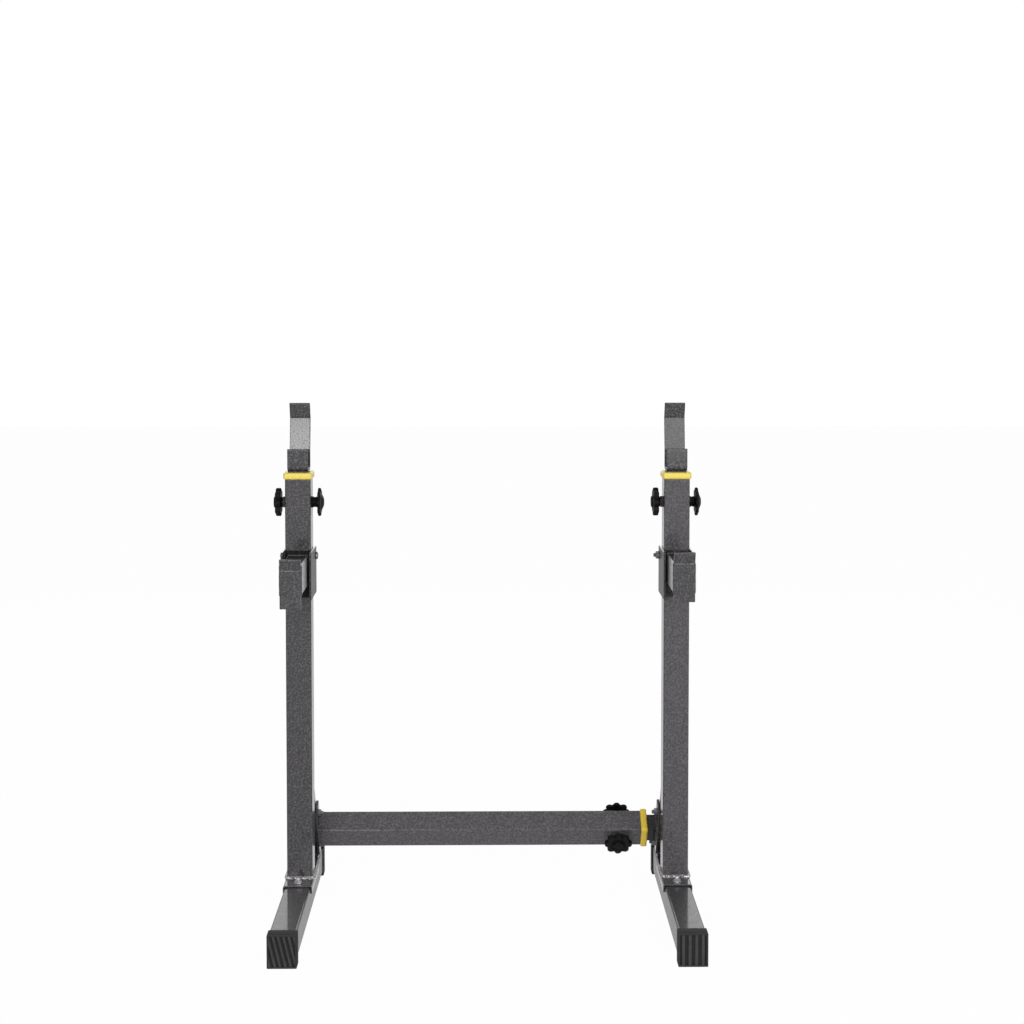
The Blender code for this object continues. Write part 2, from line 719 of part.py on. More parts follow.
def catch(side):
    """Bracket clamped round the upright, with an arm and a front plate to catch the bar."""
    x = SIDE_X[side]
    inner = TUBE / 2 + GAP
    outer = inner + CATCH_SHEET
    bolt_y = TUBE / 2 + GAP + BOLT_RADIUS
    back = bolt_y + CATCH_BOLT_EDGE
    front = -TUBE / 2 - CATCH_FRONT_REACH
    web_back = -TUBE / 2 - GAP
    web_front = web_back - CATCH_SHEET
    outline = [
        (-outer, front),
        (-inner, front),
        (-inner, web_front),
        (inner, web_front),
        (inner, front),
        (outer, front),
        (outer, back),
        (inner, back),
        (inner, web_back),
        (-inner, web_back),
        (-inner, back),
        (-outer, back),
    ]
    where = placement(Vector((x, UPRIGHT_Y, 0.0)), RIGHT, BACK)
    name = side + "_catch_bracket"
    bracket = prism(name, [outline], CATCH_BOTTOM, CATCH_TOP, where, FRAME_PAINT)
    bolt_z = CATCH_TOP - CATCH_BOLT_INSET
    row = [((-TUBE, bolt_y, bolt_z), (TUBE, bolt_y, bolt_z))]
    bolt_holes = drills(name + "_bolt_holes", BOLT_RADIUS + BOLT_CLEARANCE, row, where)
    combine(bracket, bolt_holes, "DIFFERENCE")
    head_face = Vector((x + outer, UPRIGHT_Y + bolt_y, bolt_z))
    frame = placement(head_face, -BACK, UP)
    pieces = [bracket, bolt(side + "_catch_bolt", 2 * outer, frame)]

    bottom = CATCH_BOTTOM + ARM_INSET + ARM_RISE[side]
    plate_face = -TUBE / 2 - ARM_REACH
    arm_front = plate_face + CATCH_PLATE_THICKNESS + GAP
    arm_back = web_front - GAP
    arm_where = placement(
        Vector((x, UPRIGHT_Y, bottom + ARM_HEIGHT / 2)), -RIGHT, UP
    )
    inside = (ARM_WIDTH - 2 * ARM_WALL, ARM_HEIGHT - 2 * ARM_WALL)
    loops = [
        rounded_rectangle(ARM_WIDTH, ARM_HEIGHT, ARM_RADIUS),
        rounded_rectangle(*inside, ARM_RADIUS - ARM_WALL),
    ]
    pieces.append(
        prism(side + "_catch_arm", loops, arm_front, arm_back, arm_where, FRAME_PAINT)
    )

    middle = plate_face + CATCH_PLATE_THICKNESS / 2
    plate_low = CATCH_BOTTOM + ARM_INSET - CATCH_PLATE_DROP + PLATE_RISE[side]
    plate_high = plate_low + CATCH_PLATE_DROP + ARM_HEIGHT + CATCH_PLATE_RISE
    bend_z = plate_high - CATCH_FLARE_RISE
    path = [
        (middle, plate_low),
        (middle, bend_z),
        (middle - CATCH_FLARE, bend_z + CATCH_FLARE_RISE),
    ]
    plate_where = placement(Vector((x, UPRIGHT_Y, 0.0)), BACK, UP)
    half = ARM_WIDTH / 2
    profile = bent_bar(path, CATCH_PLATE_THICKNESS, HOOK_BEND)
    pieces.append(
        prism(side + "_catch_plate", [profile], -half, half, plate_where, FRAME_PAINT)
    )
    return pieces


def hook(side):
    """Bar hook on top of the post: a lip in front, a seat, and a back that leans backward and
    then forward at its top."""
    seat = POST_TOP + GAP + HOOK_THICKNESS / 2
    reach = (HOOK_OPENING + HOOK_THICKNESS) / 2
    lip_y = HOOK_SEAT_FORWARD - reach
    back_y = HOOK_SEAT_FORWARD + reach
    lip_top = seat + HOOK_THICKNESS / 2 + HOOK_LIP_HEIGHT
    lean_low = seat + HOOK_THICKNESS / 2 + HOOK_BACK_STRAIGHT
    lean_high = lean_low + HOOK_LEAN_RISE
    path = [
        (lip_y, lip_top),
        (lip_y, seat),
        (back_y, seat),
        (back_y, lean_low),
        (back_y + HOOK_LEAN, lean_high),
        (back_y + HOOK_LEAN - HOOK_FLARE, lean_high + HOOK_FLARE_RISE),
    ]
    where = placement(Vector((SIDE_X[side], UPRIGHT_Y, 0.0)), BACK, UP)
    profile = bent_bar(path, HOOK_THICKNESS, HOOK_BEND)
    half = HOOK_WIDTH / 2
    return prism(side + "_hook", [profile], -half, half, where, FRAME_PAINT)


def stand(side):
    """One upright with its foot, brace, catch, post and hook."""
    where = placement(Vector((SIDE_X[side], UPRIGHT_Y, UPRIGHT_TOP)), RIGHT, BACK)
    fixed, sliding = telescope(
        side,
        side + "_upright",
        side + "_post",
        where,
        UPRIGHT_TOP - SADDLE_TOP - GAP,
        POST_SHOWS,
        POST_TOP - POST_BOTTOM,
        POST_HOLE_PITCH,
        POST_STAYS_INSIDE,
    )
    carry(joint_empty(side + "_post_axis", where), *sliding, hook(side))
    return foot(side) + saddle(side) + [brace(side)] + catch(side) + fixed


def crossbar():
    """Telescoping bar between the braces. The outer tube belongs to the left stand and the
    inner tube to the right one."""
    open_end = END_PLATE_X - CROSSBAR_SHOWS - COLLAR_FLANGE - GAP
    where = placement(CROSSBAR_CENTRE + RIGHT * open_end, OFF_BRACE, UP_BRACE)
    outer_length = open_end + END_PLATE_X - GAP
    return telescope(
        "crossbar",
        "crossbar_outer",
        "crossbar_inner",
        where,
        outer_length,
        CROSSBAR_SHOWS - GAP,
        CROSSBAR_INNER_LENGTH,
        CROSSBAR_HOLE_PITCH,
        CROSSBAR_STAYS_INSIDE,
    )


left_pieces = stand("left")
right_pieces = stand("right")
bar_fixed, bar_sliding = crossbar()
spread_axis = joint_empty("right_stand_axis", placement(CROSSBAR_CENTRE, OFF_BRACE, UP_BRACE))
carry(spread_axis, *right_pieces, *bar_sliding, *end_plate("right"))
left_axis = joint_empty("left_stand", Matrix.Identity(4))
carry(left_axis, *left_pieces, *bar_fixed, *end_plate("left"))
for shared in ("right_post_axis", "right_clamp_axis", "right_pin_axis"):
    carry(spread_axis, bpy.data.objects[shared])
bpy.context.view_layer.update()
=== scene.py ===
# Squat stand, as it looks. Metres, +Z up, the front towards -Y. Every size is the CAD model's.
import math

import bpy
import numpy as np
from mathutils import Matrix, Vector


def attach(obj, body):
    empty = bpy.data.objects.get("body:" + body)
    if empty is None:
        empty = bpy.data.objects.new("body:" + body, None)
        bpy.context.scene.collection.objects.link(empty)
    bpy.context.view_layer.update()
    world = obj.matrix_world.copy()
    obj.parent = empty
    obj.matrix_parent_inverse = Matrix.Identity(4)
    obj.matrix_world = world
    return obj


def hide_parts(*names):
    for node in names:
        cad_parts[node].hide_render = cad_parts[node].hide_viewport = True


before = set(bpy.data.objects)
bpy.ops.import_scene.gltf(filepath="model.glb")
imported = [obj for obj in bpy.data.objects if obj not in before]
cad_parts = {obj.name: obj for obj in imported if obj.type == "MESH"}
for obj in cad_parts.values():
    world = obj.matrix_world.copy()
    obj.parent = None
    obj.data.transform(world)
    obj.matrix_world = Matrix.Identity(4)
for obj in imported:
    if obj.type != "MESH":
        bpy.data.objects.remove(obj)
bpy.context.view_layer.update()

# Clearance and overall sizes
GAP = 0.0003
STANDS_APART = 0.735
FOOT_FRONT_REACH = 0.337
FOOT_REAR_REACH = 0.215
UPRIGHT_TOP = 0.845

# Square tubes
TUBE = 0.050
POST = 0.038
BRACE = 0.040
WALL = 0.002
TUBE_RADIUS = 0.004
POST_RADIUS = 0.003

# Foot caps: each half's front cap has its ribs' slant and count
CAP_SOLE = 0.009
CAP_WALL = 0.0016
CAP_END = 0.008
CAP_SLEEVE = 0.020
CAP_RIM = 0.0035
CAP_RECESS = 0.0034
CAP_CORNER = 0.0018
CAP_RIBS = {"left": (0.24, 5), "right": (0.0, 4)}
CAP_GROOVE = ((0, 0.0002), (0.0004, 0.0007), (0.0016, 0.0012), (0.0016, 0.0050), (0, 0.0058))

# Saddle and bolts
SADDLE_SHEET = 0.003
SADDLE_LENGTH = 0.140
SADDLE_FLANGE = 0.012
SADDLE_BOLT = 0.052
BOLT_RADIUS = 0.004
BOLT_HEAD_RADIUS = 0.0075
BOLT_HEAD_HEIGHT = 0.0042
BOLT_NUT_ACROSS = 0.013
BOLT_NUT_HEIGHT = 0.0065
BOLT_TIP = 0.0045
BOLT_DOME = 0.0033
BOLT_RIM = 0.0010
SOCKET_ACROSS = 0.0050
SOCKET_DEPTH = 0.0022
WASHER_RADIUS = 0.0082
WASHER_HEIGHT = 0.0014
THREAD_PITCH = 0.00125
THREAD_DEPTH = 0.0005
THREAD_TAPER = 0.0009

# Telescoping joints
COLLAR_SIDE = 0.056
COLLAR_CORNER = 0.0052
COLLAR_EDGE = 0.0034
COLLAR_FLANGE = 0.013
COLLAR_SLEEVE = 0.030
GLIDE_LENGTH = 0.030
GLIDE_END = 0.003
KNOB_DROP = 0.046
POST_SHOWS = 0.0027
POST_BOTTOM = 0.085
POST_HOLE_PITCH = 0.055
POST_HOLES = 13
CROSSBAR_SHOWS = 0.0195
CROSSBAR_INNER_LENGTH = 0.505
CROSSBAR_HOLE_PITCH = 0.050
CROSSBAR_HOLES = 7
HOLE_RADIUS = 0.0057
HOLE_CHAMFER = 0.0004

# Knobs and pins
KNOB_RADIUS = 0.0275
KNOB_LOBES = 8
KNOB_DIP = 0.0055
KNOB_DIP_POWER = 1.9
CLAMP_NUT_ACROSS = 0.019
CLAMP_NUT_HEIGHT = 0.006
CLAMP_SCREW_RADIUS = 0.006
HOUSING_HEIGHT = 0.011
PIN_RADIUS = 0.005
PIN_BITE = 0.0015

# Hook
HOOK_WIDTH = 0.040
HOOK_SHEET = 0.005
HOOK_OPENING = 0.040
HOOK_LIP = 0.038
HOOK_BACK = 0.034
HOOK_LEAN_RISE = 0.061
HOOK_LEAN = 0.010
HOOK_FLARE_RISE = 0.0295
HOOK_FLARE = 0.012
HOOK_SEAT_FORWARD = 0.001
BEND = 0.003

# Catch
CATCH_TOP = 0.708
CATCH_BOTTOM = 0.616
CATCH_SHEET = 0.004
CATCH_CORNER = 0.004
CATCH_FRONT_REACH = 0.040
CATCH_BOLT_EDGE = 0.013
CATCH_BOLT_INSET = 0.018
ARM_WIDTH = 0.040
ARM_HEIGHT = 0.058
ARM_WALL = 0.0025
ARM_RADIUS = 0.003
ARM_REACH = 0.140
ARM_INSET = 0.024
ARM_RISE = {"left": 0.0, "right": 0.003}
PLATE_SHEET = 0.005
PLATE_DROP = 0.024
PLATE_OVER = 0.012
PLATE_RISE = {"left": 0.0, "right": 0.012}
FLARE_RISE = 0.022
FLARE = 0.007

# Brace and the crossbar's end plates
BRACE_ANGLE = math.radians(55.0)
BRACE_REACH = 0.1844
CROSSBAR_UP_BRACE = 0.0724
END_PLATE = 0.005
END_PLATE_WIDTH = 0.050
END_PLATE_UP = 0.062
END_PLATE_DOWN = 0.054
END_PLATE_CORNER = 0.006
END_PLATE_BOLTS = (0.050, -0.045)

# Radii of the weld beads, and of the bead that paints the catch plate's highlight
UPRIGHT_WELD = 0.0052
BRACE_WELD = 0.0020
SEAM_WELD = 0.0016
ARM_FRONT_WELD = 0.0018
ARM_BACK_WELD = 0.0022
# A painted highlight along the catch plate's bend, not a weld.
BEND_HIGHLIGHT_BEAD = 0.0011
HOOK_WELD = 0.0010
NUT_WELD = 0.0012
WELD_RIPPLE = 0.0027

# Camera
CAMERA_PLACE = (0.0025, -3.4327, 1.1844)
CAMERA_PITCH = math.radians(90.0 - 2.712)
CAMERA_TURN = math.radians(-0.7386)
CAMERA_LENS = 63.195
CAMERA_SHIFT = -0.12

# Floor and surroundings
FLOOR_REACH = 14.0
FLOOR_DROP = 0.0004
FLOOR_WHITE_SHARE = 0.98
SKY_LIGHT = 0.30
WHITE = (1.0, 1.0, 1.0, 1.0)

# Directions, and places that follow from the sizes
RIGHT = np.array([1.0, 0.0, 0.0])
BACK = np.array([0.0, 1.0, 0.0])
UP = np.array([0.0, 0.0, 1.0])
UP_BRACE = np.array([0.0, -math.cos(BRACE_ANGLE), math.sin(BRACE_ANGLE)])
OFF_BRACE = np.array([0.0, math.sin(BRACE_ANGLE), math.cos(BRACE_ANGLE)])
SIDE_X = {"left": -STANDS_APART / 2, "right": STANDS_APART / 2}
INWARDS = {"left": 1.0, "right": -1.0}
UPRIGHT_Y = (FOOT_FRONT_REACH - FOOT_REAR_REACH) / 2
FOOT_TOP = CAP_SOLE + GAP + TUBE
SADDLE_TOP = FOOT_TOP + GAP + SADDLE_SHEET
POST_TOP = UPRIGHT_TOP + GAP + COLLAR_FLANGE + POST_SHOWS
LANDING_Y = UPRIGHT_Y + BRACE_REACH - BRACE / 2 / math.sin(BRACE_ANGLE)
LANDING = np.array([0.0, LANDING_Y, FOOT_TOP + GAP])
CROSSBAR_CENTRE = LANDING + UP_BRACE * CROSSBAR_UP_BRACE
END_PLATE_X = STANDS_APART / 2 - BRACE / 2 - GAP - END_PLATE
CHEEK_INNER = TUBE / 2 + GAP
CHEEK_OUTER = CHEEK_INNER + CATCH_SHEET
WEB_FRONT = -TUBE / 2 - GAP - CATCH_SHEET
PLATE_FACE = -TUBE / 2 - ARM_REACH
TUBE_BORE = TUBE - 2 * WALL - 2 * GAP
CAP_POCKET = TUBE + 2 * GAP

# Points round a circle, and their angles
ROUND = 64
AROUND = 2 * math.pi * np.arange(ROUND) / ROUND


class Wire:
    """A value inside a node tree. Sums written with it add Math nodes."""

    def __init__(self, nodes, socket):
        self.nodes = nodes
        self.socket = socket

    def math(self, operation, *values):
        settings = {"operation": operation}
        return self.nodes.node("ShaderNodeMath", settings, dict(enumerate(values)))

    def __add__(self, other):
        return self.math("ADD", self, other)

    __radd__ = __add__

    def __sub__(self, other):
        return self.math("SUBTRACT", self, other)

    def __rsub__(self, other):
        return self.math("SUBTRACT", other, self)

    def __mul__(self, other):
        return self.math("MULTIPLY", self, other)

    __rmul__ = __mul__

    def __abs__(self):
        return self.math("ABSOLUTE", self)

    def larger(self, other):
        return self.math("MAXIMUM", self, other)


class Nodes:
    """The node tree of a material or of the surroundings."""

    def __init__(self, owner):
        owner.use_nodes = True
        self.tree = owner.node_tree

    def feed(self, socket, value):
        if isinstance(value, Wire):
            self.tree.links.new(value.socket, socket)
        else:
            socket.default_value = value

    def node(self, kind, settings=None, inputs=None, output=0):
        """Adds a node: its settings first, then the values or links of its sockets."""
        made = self.tree.nodes.new(kind)
        for setting, value in (settings or {}).items():
            setattr(made, setting, value)
        for socket, value in (inputs or {}).items():
            self.feed(made.inputs[socket], value)
        return Wire(self, made.outputs[output])

    def finish_with(self, surface, default, output):
        """Takes the default shader away and feeds another to the tree's output."""
        self.tree.nodes.remove(self.tree.nodes[default])
        self.feed(self.tree.nodes[output].inputs["Surface"], surface)


class Finish(Nodes):
    """A material of one of the record's slots, drawn up from nodes on Object coordinates."""

    def __init__(self, name, slot, **constants):
        self.slot = slot
        self.material = bpy.data.materials.new(name)
        super().__init__(self.material)
        self.shader = self.tree.nodes["Principled BSDF"]
        self.paint(**constants)
        self.place = self.node("ShaderNodeTexCoord", output="Object")

    def paint(self, **sockets):
        """Feeds the shader's sockets, in whose names _ stands for a space."""
        for socket, value in sockets.items():
            self.feed(self.shader.inputs[socket.replace("_", " ")], value)

    def noise(self, scale, detail=2.0, roughness=0.5, place=None):
        """Cloudy values round 0.5, with features of about one metre over the scale."""
        inputs = {"Vector": place or self.place, "Scale": scale, "Detail": detail}
        inputs["Roughness"] = roughness
        return self.node("ShaderNodeTexNoise", None, inputs)

    def cells(self, scale, feature="SMOOTH_F1"):
        """Distance to the nearest of scattered points, one metre over the scale apart."""
        inputs = {"Vector": self.place, "Scale": scale}
        return self.node("ShaderNodeTexVoronoi", {"feature": feature}, inputs, "Distance")

    def ease(self, value, low, high):
        """0 below low, 1 above high, and a smooth step between them."""
        inputs = {"Value": value, "From Min": low, "From Max": high}
        return self.node("ShaderNodeMapRange", {"interpolation_type": "SMOOTHSTEP"}, inputs)

    def stretched(self, scale):
        """Object coordinates drawn out along each axis by one over its scale."""
        inputs = {"Vector": self.place, "Scale": scale}
        return self.node("ShaderNodeMapping", None, inputs)

    def blend(self, share, one, other):
        """The first colour where share is 0, the other where it is 1."""
        inputs = {0: share, 6: one, 7: other}
        return self.node("ShaderNodeMix", {"data_type": "RGBA"}, inputs, 2)

    def raised(self, height, depth):
        """Feeds the shader's normal with a bump of that height, whose full depth is in metres."""
        inputs = {"Height": height, "Distance": depth, "Strength": 1.0}
        self.paint(Normal=self.node("ShaderNodeBump", None, inputs))


PIT_GREY = (0.008, 0.007, 0.008, 1.0)
# Light grey of the painted highlight on sideways faces.
SIDE_HIGHLIGHT_GREY = (0.48, 0.47, 0.48, 1.0)


def greys(tone, shades):
    """Grey colours of those shades, all brightened by the tone, with a touch of violet."""
    return [(shade * tone, shade * 0.94 * tone, shade * 1.01 * tone, 1.0) for shade in shades]


def hammered_paint(name, tone, gloss, flecked=0.55, sides=None, haze=0.09, side_highlight=0.0):
    """Dark grey enamel under a clear gloss, drawn together into small cells with light flecks
    and dark pits. Faces that look sideways may have a gloss of their own, in patches, and may
    be painted lighter in those patches, as a painted highlight."""
    made = Finish(name, "frame_paint", Coat_Roughness=haze, Specular_IOR_Level=0.2 * gloss)
    cells = made.cells(240.0)
    fine = made.noise(900.0, 2.0)
    clouds = made.noise(9.0, 3.0)
    flecks = made.ease(made.noise(310.0, 1.5), 0.50, 0.66)
    pits = made.ease(made.noise(330.0, 1.0), 0.58, 0.70)
    dim, plain, raised, fleck = greys(tone, (0.027, 0.036, 0.056, 0.185))
    dark = made.blend(clouds, dim, plain)
    mottled = made.blend(made.ease(cells, 0.20, 0.70), dark, raised)
    speckled = made.blend(flecks * flecked, mottled, fleck)
    colour = made.blend(pits * flecked, speckled, PIT_GREY)
    coat = gloss
    if sides is not None:
        facing = made.node("ShaderNodeTexCoord", output="Normal")
        sideways = abs(made.node("ShaderNodeSeparateXYZ", None, {"Vector": facing}, "X"))
        patches = made.ease(made.noise(190.0, 3.0), 0.40, 0.60) * 0.3 + 0.7
        coat = gloss + (patches * sides - gloss) * sideways
        # Painted highlight: sideways faces lightened towards a light grey, in patches.
        colour = made.blend(sideways * patches * side_highlight, colour, SIDE_HIGHLIGHT_GREY)
    made.paint(
        Base_Color=colour,
        Roughness=0.34 + fine * 0.12 + clouds * 0.06,
        Coat_Weight=coat * (1.0 - flecks * 0.45),
    )
    made.raised(cells * 0.8 + fine * 0.25, 0.00022)
    return made


def weld_metal():
    """Weld with a thin, broken coat of paint, through which bright metal shows in places."""
    made = Finish("weld_metal", "frame_paint")
    bare = made.ease(made.noise(330.0, 3.0, 0.6), 0.44, 0.60)
    spatter = made.noise(1100.0, 2.0)
    made.paint(
        Base_Color=made.blend(bare, (0.12, 0.115, 0.118, 1.0), (0.62, 0.60, 0.60, 1.0)),
        Metallic=bare * 0.7,
        Roughness=0.42 + spatter * 0.2 - bare * 0.1,
    )
    made.raised(bare * 0.4 + spatter * 0.6, 0.00025)
    return made


def yellow_plastic(name, dark, light):
    """Moulded yellow plastic with a faint mottle between two tones and a fine grain."""
    made = Finish(name, "yellow_plastic")
    clouds = made.noise(60.0, 3.0)
    grain = made.noise(2600.0, 2.0)
    scuffs = made.ease(made.noise(8.0, 4.0, place=made.stretched((30.0, 30.0, 4.0))), 0.58, 0.8)
    plain = made.blend(clouds, dark, light)
    made.paint(
        Base_Color=made.blend(scuffs * 0.35, plain, (0.58, 0.45, 0.11, 1.0)),
        Roughness=0.34 + clouds * 0.12 + scuffs * 0.15,
    )
    made.raised(grain, 0.00004)
    return made


def black_plastic():
    """Black moulded plastic with a leathery spark-eroded grain, duller where it is handled."""
    made = Finish("black_plastic", "black_plastic", Specular_IOR_Level=0.10)
    grain = made.cells(1500.0)
    handled = made.ease(made.noise(45.0, 3.0), 0.45, 0.7)
    deep = (0.0025, 0.0025, 0.0027, 1.0)
    worn = (0.0060, 0.0059, 0.0058, 1.0)
    made.paint(
        Base_Color=made.blend(handled, deep, worn),
        Roughness=0.42 + grain * 0.2 + handled * 0.14,
    )
    made.raised(grain, 0.00006)
    return made


def black_rubber():
    """Dull black rubber with a fine grain. Its groove attribute paints shade into the grooves
    between the ribs and over the cap's wall, and a little dust lies only outside that shade,
    so the parts that stand proud are lighter, partly as painted light.
    """
    made = Finish("black_rubber", "black_rubber", Specular_IOR_Level=0.3)
    grain = made.noise(1700.0, 3.0)
    # The groove attribute is painted shade, 1 where it is darkest.
    groove = made.node("ShaderNodeAttribute", {"attribute_name": "groove"}, None, "Fac")
    # Dust, kept out of the painted shade, so it also lightens the ridges as painted light.
    dust_and_ridge_light = made.ease(made.noise(70.0, 5.0, 0.65), 0.35, 0.75) * (1.0 - groove)
    # Painted shade: the rubber darkens towards near-black by the groove attribute.
    plain = made.blend(groove, (0.034, 0.032, 0.034, 1.0), (0.007, 0.007, 0.008, 1.0))
    made.paint(
        Base_Color=made.blend(dust_and_ridge_light * 0.6, plain, (0.066, 0.062, 0.064, 1.0)),
        Roughness=0.62 + grain * 0.2 + dust_and_ridge_light * 0.1,
    )
    made.raised(grain, 0.00008)
    return made


def zinc(name, tone):
    """Dulled zinc plate with faint cloudy crystals and turning marks."""
    made = Finish(name, "zinc", Metallic=1.0)
    clouds = made.cells(520.0, "F1")
    stains = made.ease(made.noise(160.0, 3.0), 0.4, 0.65)
    streaks = made.noise(300.0, 4.0, place=made.stretched((1.0, 1.0, 6.0)))
    low, high, stained = greys(tone, (0.46, 0.66, 0.24))
    plated = made.blend(clouds, low, high)
    made.paint(
        Base_Color=made.blend(stains * 0.6, plated, stained),
        Roughness=0.22 + streaks * 0.2 + stains * 0.12,
    )
    made.raised(streaks, 0.00004)
    return made


def black_oxide():
    """Blackened steel, oily in places."""
    made = Finish("black_oxide", "black_plastic", Metallic=0.6)
    oil = made.ease(made.noise(120.0, 4.0), 0.4, 0.65)
    made.paint(
        Base_Color=made.blend(oil, (0.020, 0.020, 0.021, 1.0), (0.035, 0.034, 0.033, 1.0)),
        Roughness=0.55 - oil * 0.2,
    )
    made.raised(made.noise(1300.0, 3.0), 0.00005)
    return made


HAMMERED = hammered_paint("hammered_paint", tone=0.78, gloss=0.68)
# The uprights' paint in two copies: the right half's is lighter, as painted light, and has fewer
# flecks.
TUBE_PAINT = {
    "left": hammered_paint("left_tube_paint", tone=0.82, gloss=0.68),
    "right": hammered_paint("right_tube_painted_light", tone=1.25, gloss=0.68, flecked=0.30),
}
HOOK_PAINT = hammered_paint("hook_paint", tone=0.76, gloss=0.68, flecked=0.70, sides=0.10)
# The crossbar's paint is a much lighter copy of the frame's, standing in for light on the
# crossbar's faces.
LIGHTENED_BAR_PAINT = hammered_paint("bar_painted_light", tone=1.85, gloss=0.36, flecked=0.25)
BRACKET_PAINT = hammered_paint("bracket_paint", tone=0.75, gloss=0.50, sides=0.06)
# The arm's paint is dark as painted shade on its top and bottom, and lighter on its sides as a
# painted highlight.
SHADED_HIGHLIGHTED_ARM_PAINT = hammered_paint("arm_painted_shade_and_highlight", tone=0.40, gloss=0.10, sides=1.0, haze=0.30, side_highlight=0.90)
# The webs' paint is darker, the left one most, as painted shade in the recess between the side
# plates.
SHADED_WEB_PAINT = {
    "left": hammered_paint("left_web_painted_shade", tone=0.25, gloss=0.10, flecked=0.40),
    "right": hammered_paint("right_web_painted_shade", tone=0.55, gloss=0.20),
}
BRACE_PAINT = hammered_paint("brace_paint", tone=0.78, gloss=0.60, flecked=0.70, sides=0.45)
FOOT_PAINT = hammered_paint("foot_paint", tone=0.52, gloss=0.42, flecked=0.40, sides=0.42)
# A darker copy of the paint: painted shade on the crossbar's inner tube, beside the end plate;
# the hook's weld takes it too.
DARK_PAINT = hammered_paint("dark_paint", tone=0.45, gloss=0.30)
# Very light paint for the painted highlight along each catch plate's bend.
HIGHLIGHT_PAINT = hammered_paint("painted_highlight", tone=2.8, gloss=0.90, flecked=0.10)
WELD = weld_metal()
YELLOW = yellow_plastic("yellow_plastic", (0.68, 0.52, 0.075, 1.0), (0.76, 0.60, 0.11, 1.0))
# A brighter copy of the yellow for the crossbar's collar, standing in for light on it.
LIGHTENED_YELLOW = yellow_plastic("lightened_yellow_painted_light", (0.90, 0.62, 0.050, 1.0), (0.96, 0.70, 0.075, 1.0))
PLASTIC = black_plastic()
RUBBER = black_rubber()
ZINC = zinc("zinc", 1.0)
AGED_ZINC = zinc("aged_zinc", 0.38)
OXIDE = black_oxide()


def spot(origin, x_axis=RIGHT, y_axis=BACK, inside=None):
    """A place: its origin and its three square axes, which may be given inside another place."""
    axes = np.array([x_axis, y_axis, np.cross(x_axis, y_axis)])
    origin = np.array(origin, float)
    if inside is not None:
        origin = inside[0] + origin @ inside[1]
        axes = axes @ inside[1]
    return origin, axes


def on_half(side, y=0.0, z=0.0, x_axis=RIGHT, y_axis=BACK):
    """A place in a half's middle plane, whose y is counted from the upright's axis."""
    return spot((SIDE_X[side], UPRIGHT_Y + y, z), x_axis, y_axis)


def skin(rings, closed=False, capped=True):
    """Squares between each ring of points and the next. The last ring joins the first if
    closed, or else a flat face closes each end."""
    count, size = rings.shape[:2]
    row = np.arange(count if closed else count - 1)[:, None]
    column = np.arange(size)[None, :]
    above = (row + 1) % count
    beside = (column + 1) % size
    corners = [(row, column), (row, beside), (above, beside), (above, column)]
    corners = [ring * size + point for ring, point in corners]
    faces = np.stack(np.broadcast_arrays(*corners), -1).reshape(-1, 4).tolist()
    if capped and not closed:
        faces.append(np.arange(size)[::-1].tolist())
        faces.append((np.arange(size) + (count - 1) * size).tolist())
    return rings.reshape(-1, 3), faces


def linked(name, data):
    """A new object of the scene."""
    made = bpy.data.objects.new(name, data)
    bpy.context.scene.collection.objects.link(made)
    return made


def gathered(shells):
    """The points of several shells in one list, and their faces numbered to suit."""
    starts = np.cumsum([0] + [len(points) for points, faces in shells])
    faces = [
        [corner + int(start) for corner in face]
        for start, (points, own_faces) in zip(starts, shells)
        for face in own_faces
    ]
    return np.concatenate([points for points, own_faces in shells]), faces


def piece(name, body, finish, shells, at=None, nodes=(), smooth=38.0, depth=None):
    """One object made of closed shells, put at a place, that rides on a body and stands for
    CAD nodes. The painted shade of each point may be given, from 0 to 1."""
    points, faces = gathered(shells)
    if at is not None:
        points, faces = moved((points, faces), at)
    mesh = bpy.data.meshes.new(name)
    mesh.from_pydata(points.tolist(), [], faces)
    mesh.shade_smooth()
    mesh.set_sharp_from_angle(angle=math.radians(smooth))
    mesh.materials.append(finish.material)
    if depth is not None:
        # The groove attribute carries each point's painted shade.
        mesh.attributes.new("groove", "FLOAT", "POINT").data.foreach_set("value", depth)
    made = linked(name, mesh)
    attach(made, body)
    if nodes:
        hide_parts(*nodes)


def moved(shell, at):
    """A shell put at a place inside its piece."""
    points, faces = shell
    return at[0] + points @ at[1], faces


def rounded_outline(width, height, radius, steps=7, flat=0.0006):
    """Rectangle with round corners, as points and their outward normals: each corner's centre
    plus the radius times the cosine and sine of the angle. One more point at each side of the
    arc keeps the flats flat to the eye."""
    turn = np.concatenate([[0.0], np.linspace(0.0, 1.0, steps + 1), [1.0]])
    slide = np.concatenate([[-flat], np.zeros(steps + 1), [flat]])
    quarter = np.repeat(np.arange(4), len(turn))
    angle = (quarter + np.tile(turn, 4)) * math.pi / 2
    normals = np.column_stack([np.cos(angle), np.sin(angle)])
    tangents = np.column_stack([-np.sin(angle), np.cos(angle)])
    side = np.array([[1, 1], [-1, 1], [-1, -1], [1, -1]])[quarter]
    centres = side * (np.array([width, height]) / 2 - radius)
    return centres + normals * radius + tangents * np.tile(slide, 4)[:, None], normals


def square(side, radius):
    """Square with round corners."""
    return rounded_outline(side, side, radius)


def lifted(outline, rise):
    """The same outline, higher by rise in its own plane."""
    points, normals = outline
    return points + [0.0, rise], normals


def round_outline(radius):
    """Circle: the radius times the cosine and sine of the angle."""
    normals = np.column_stack([np.cos(AROUND), np.sin(AROUND)])
    return normals * radius, normals


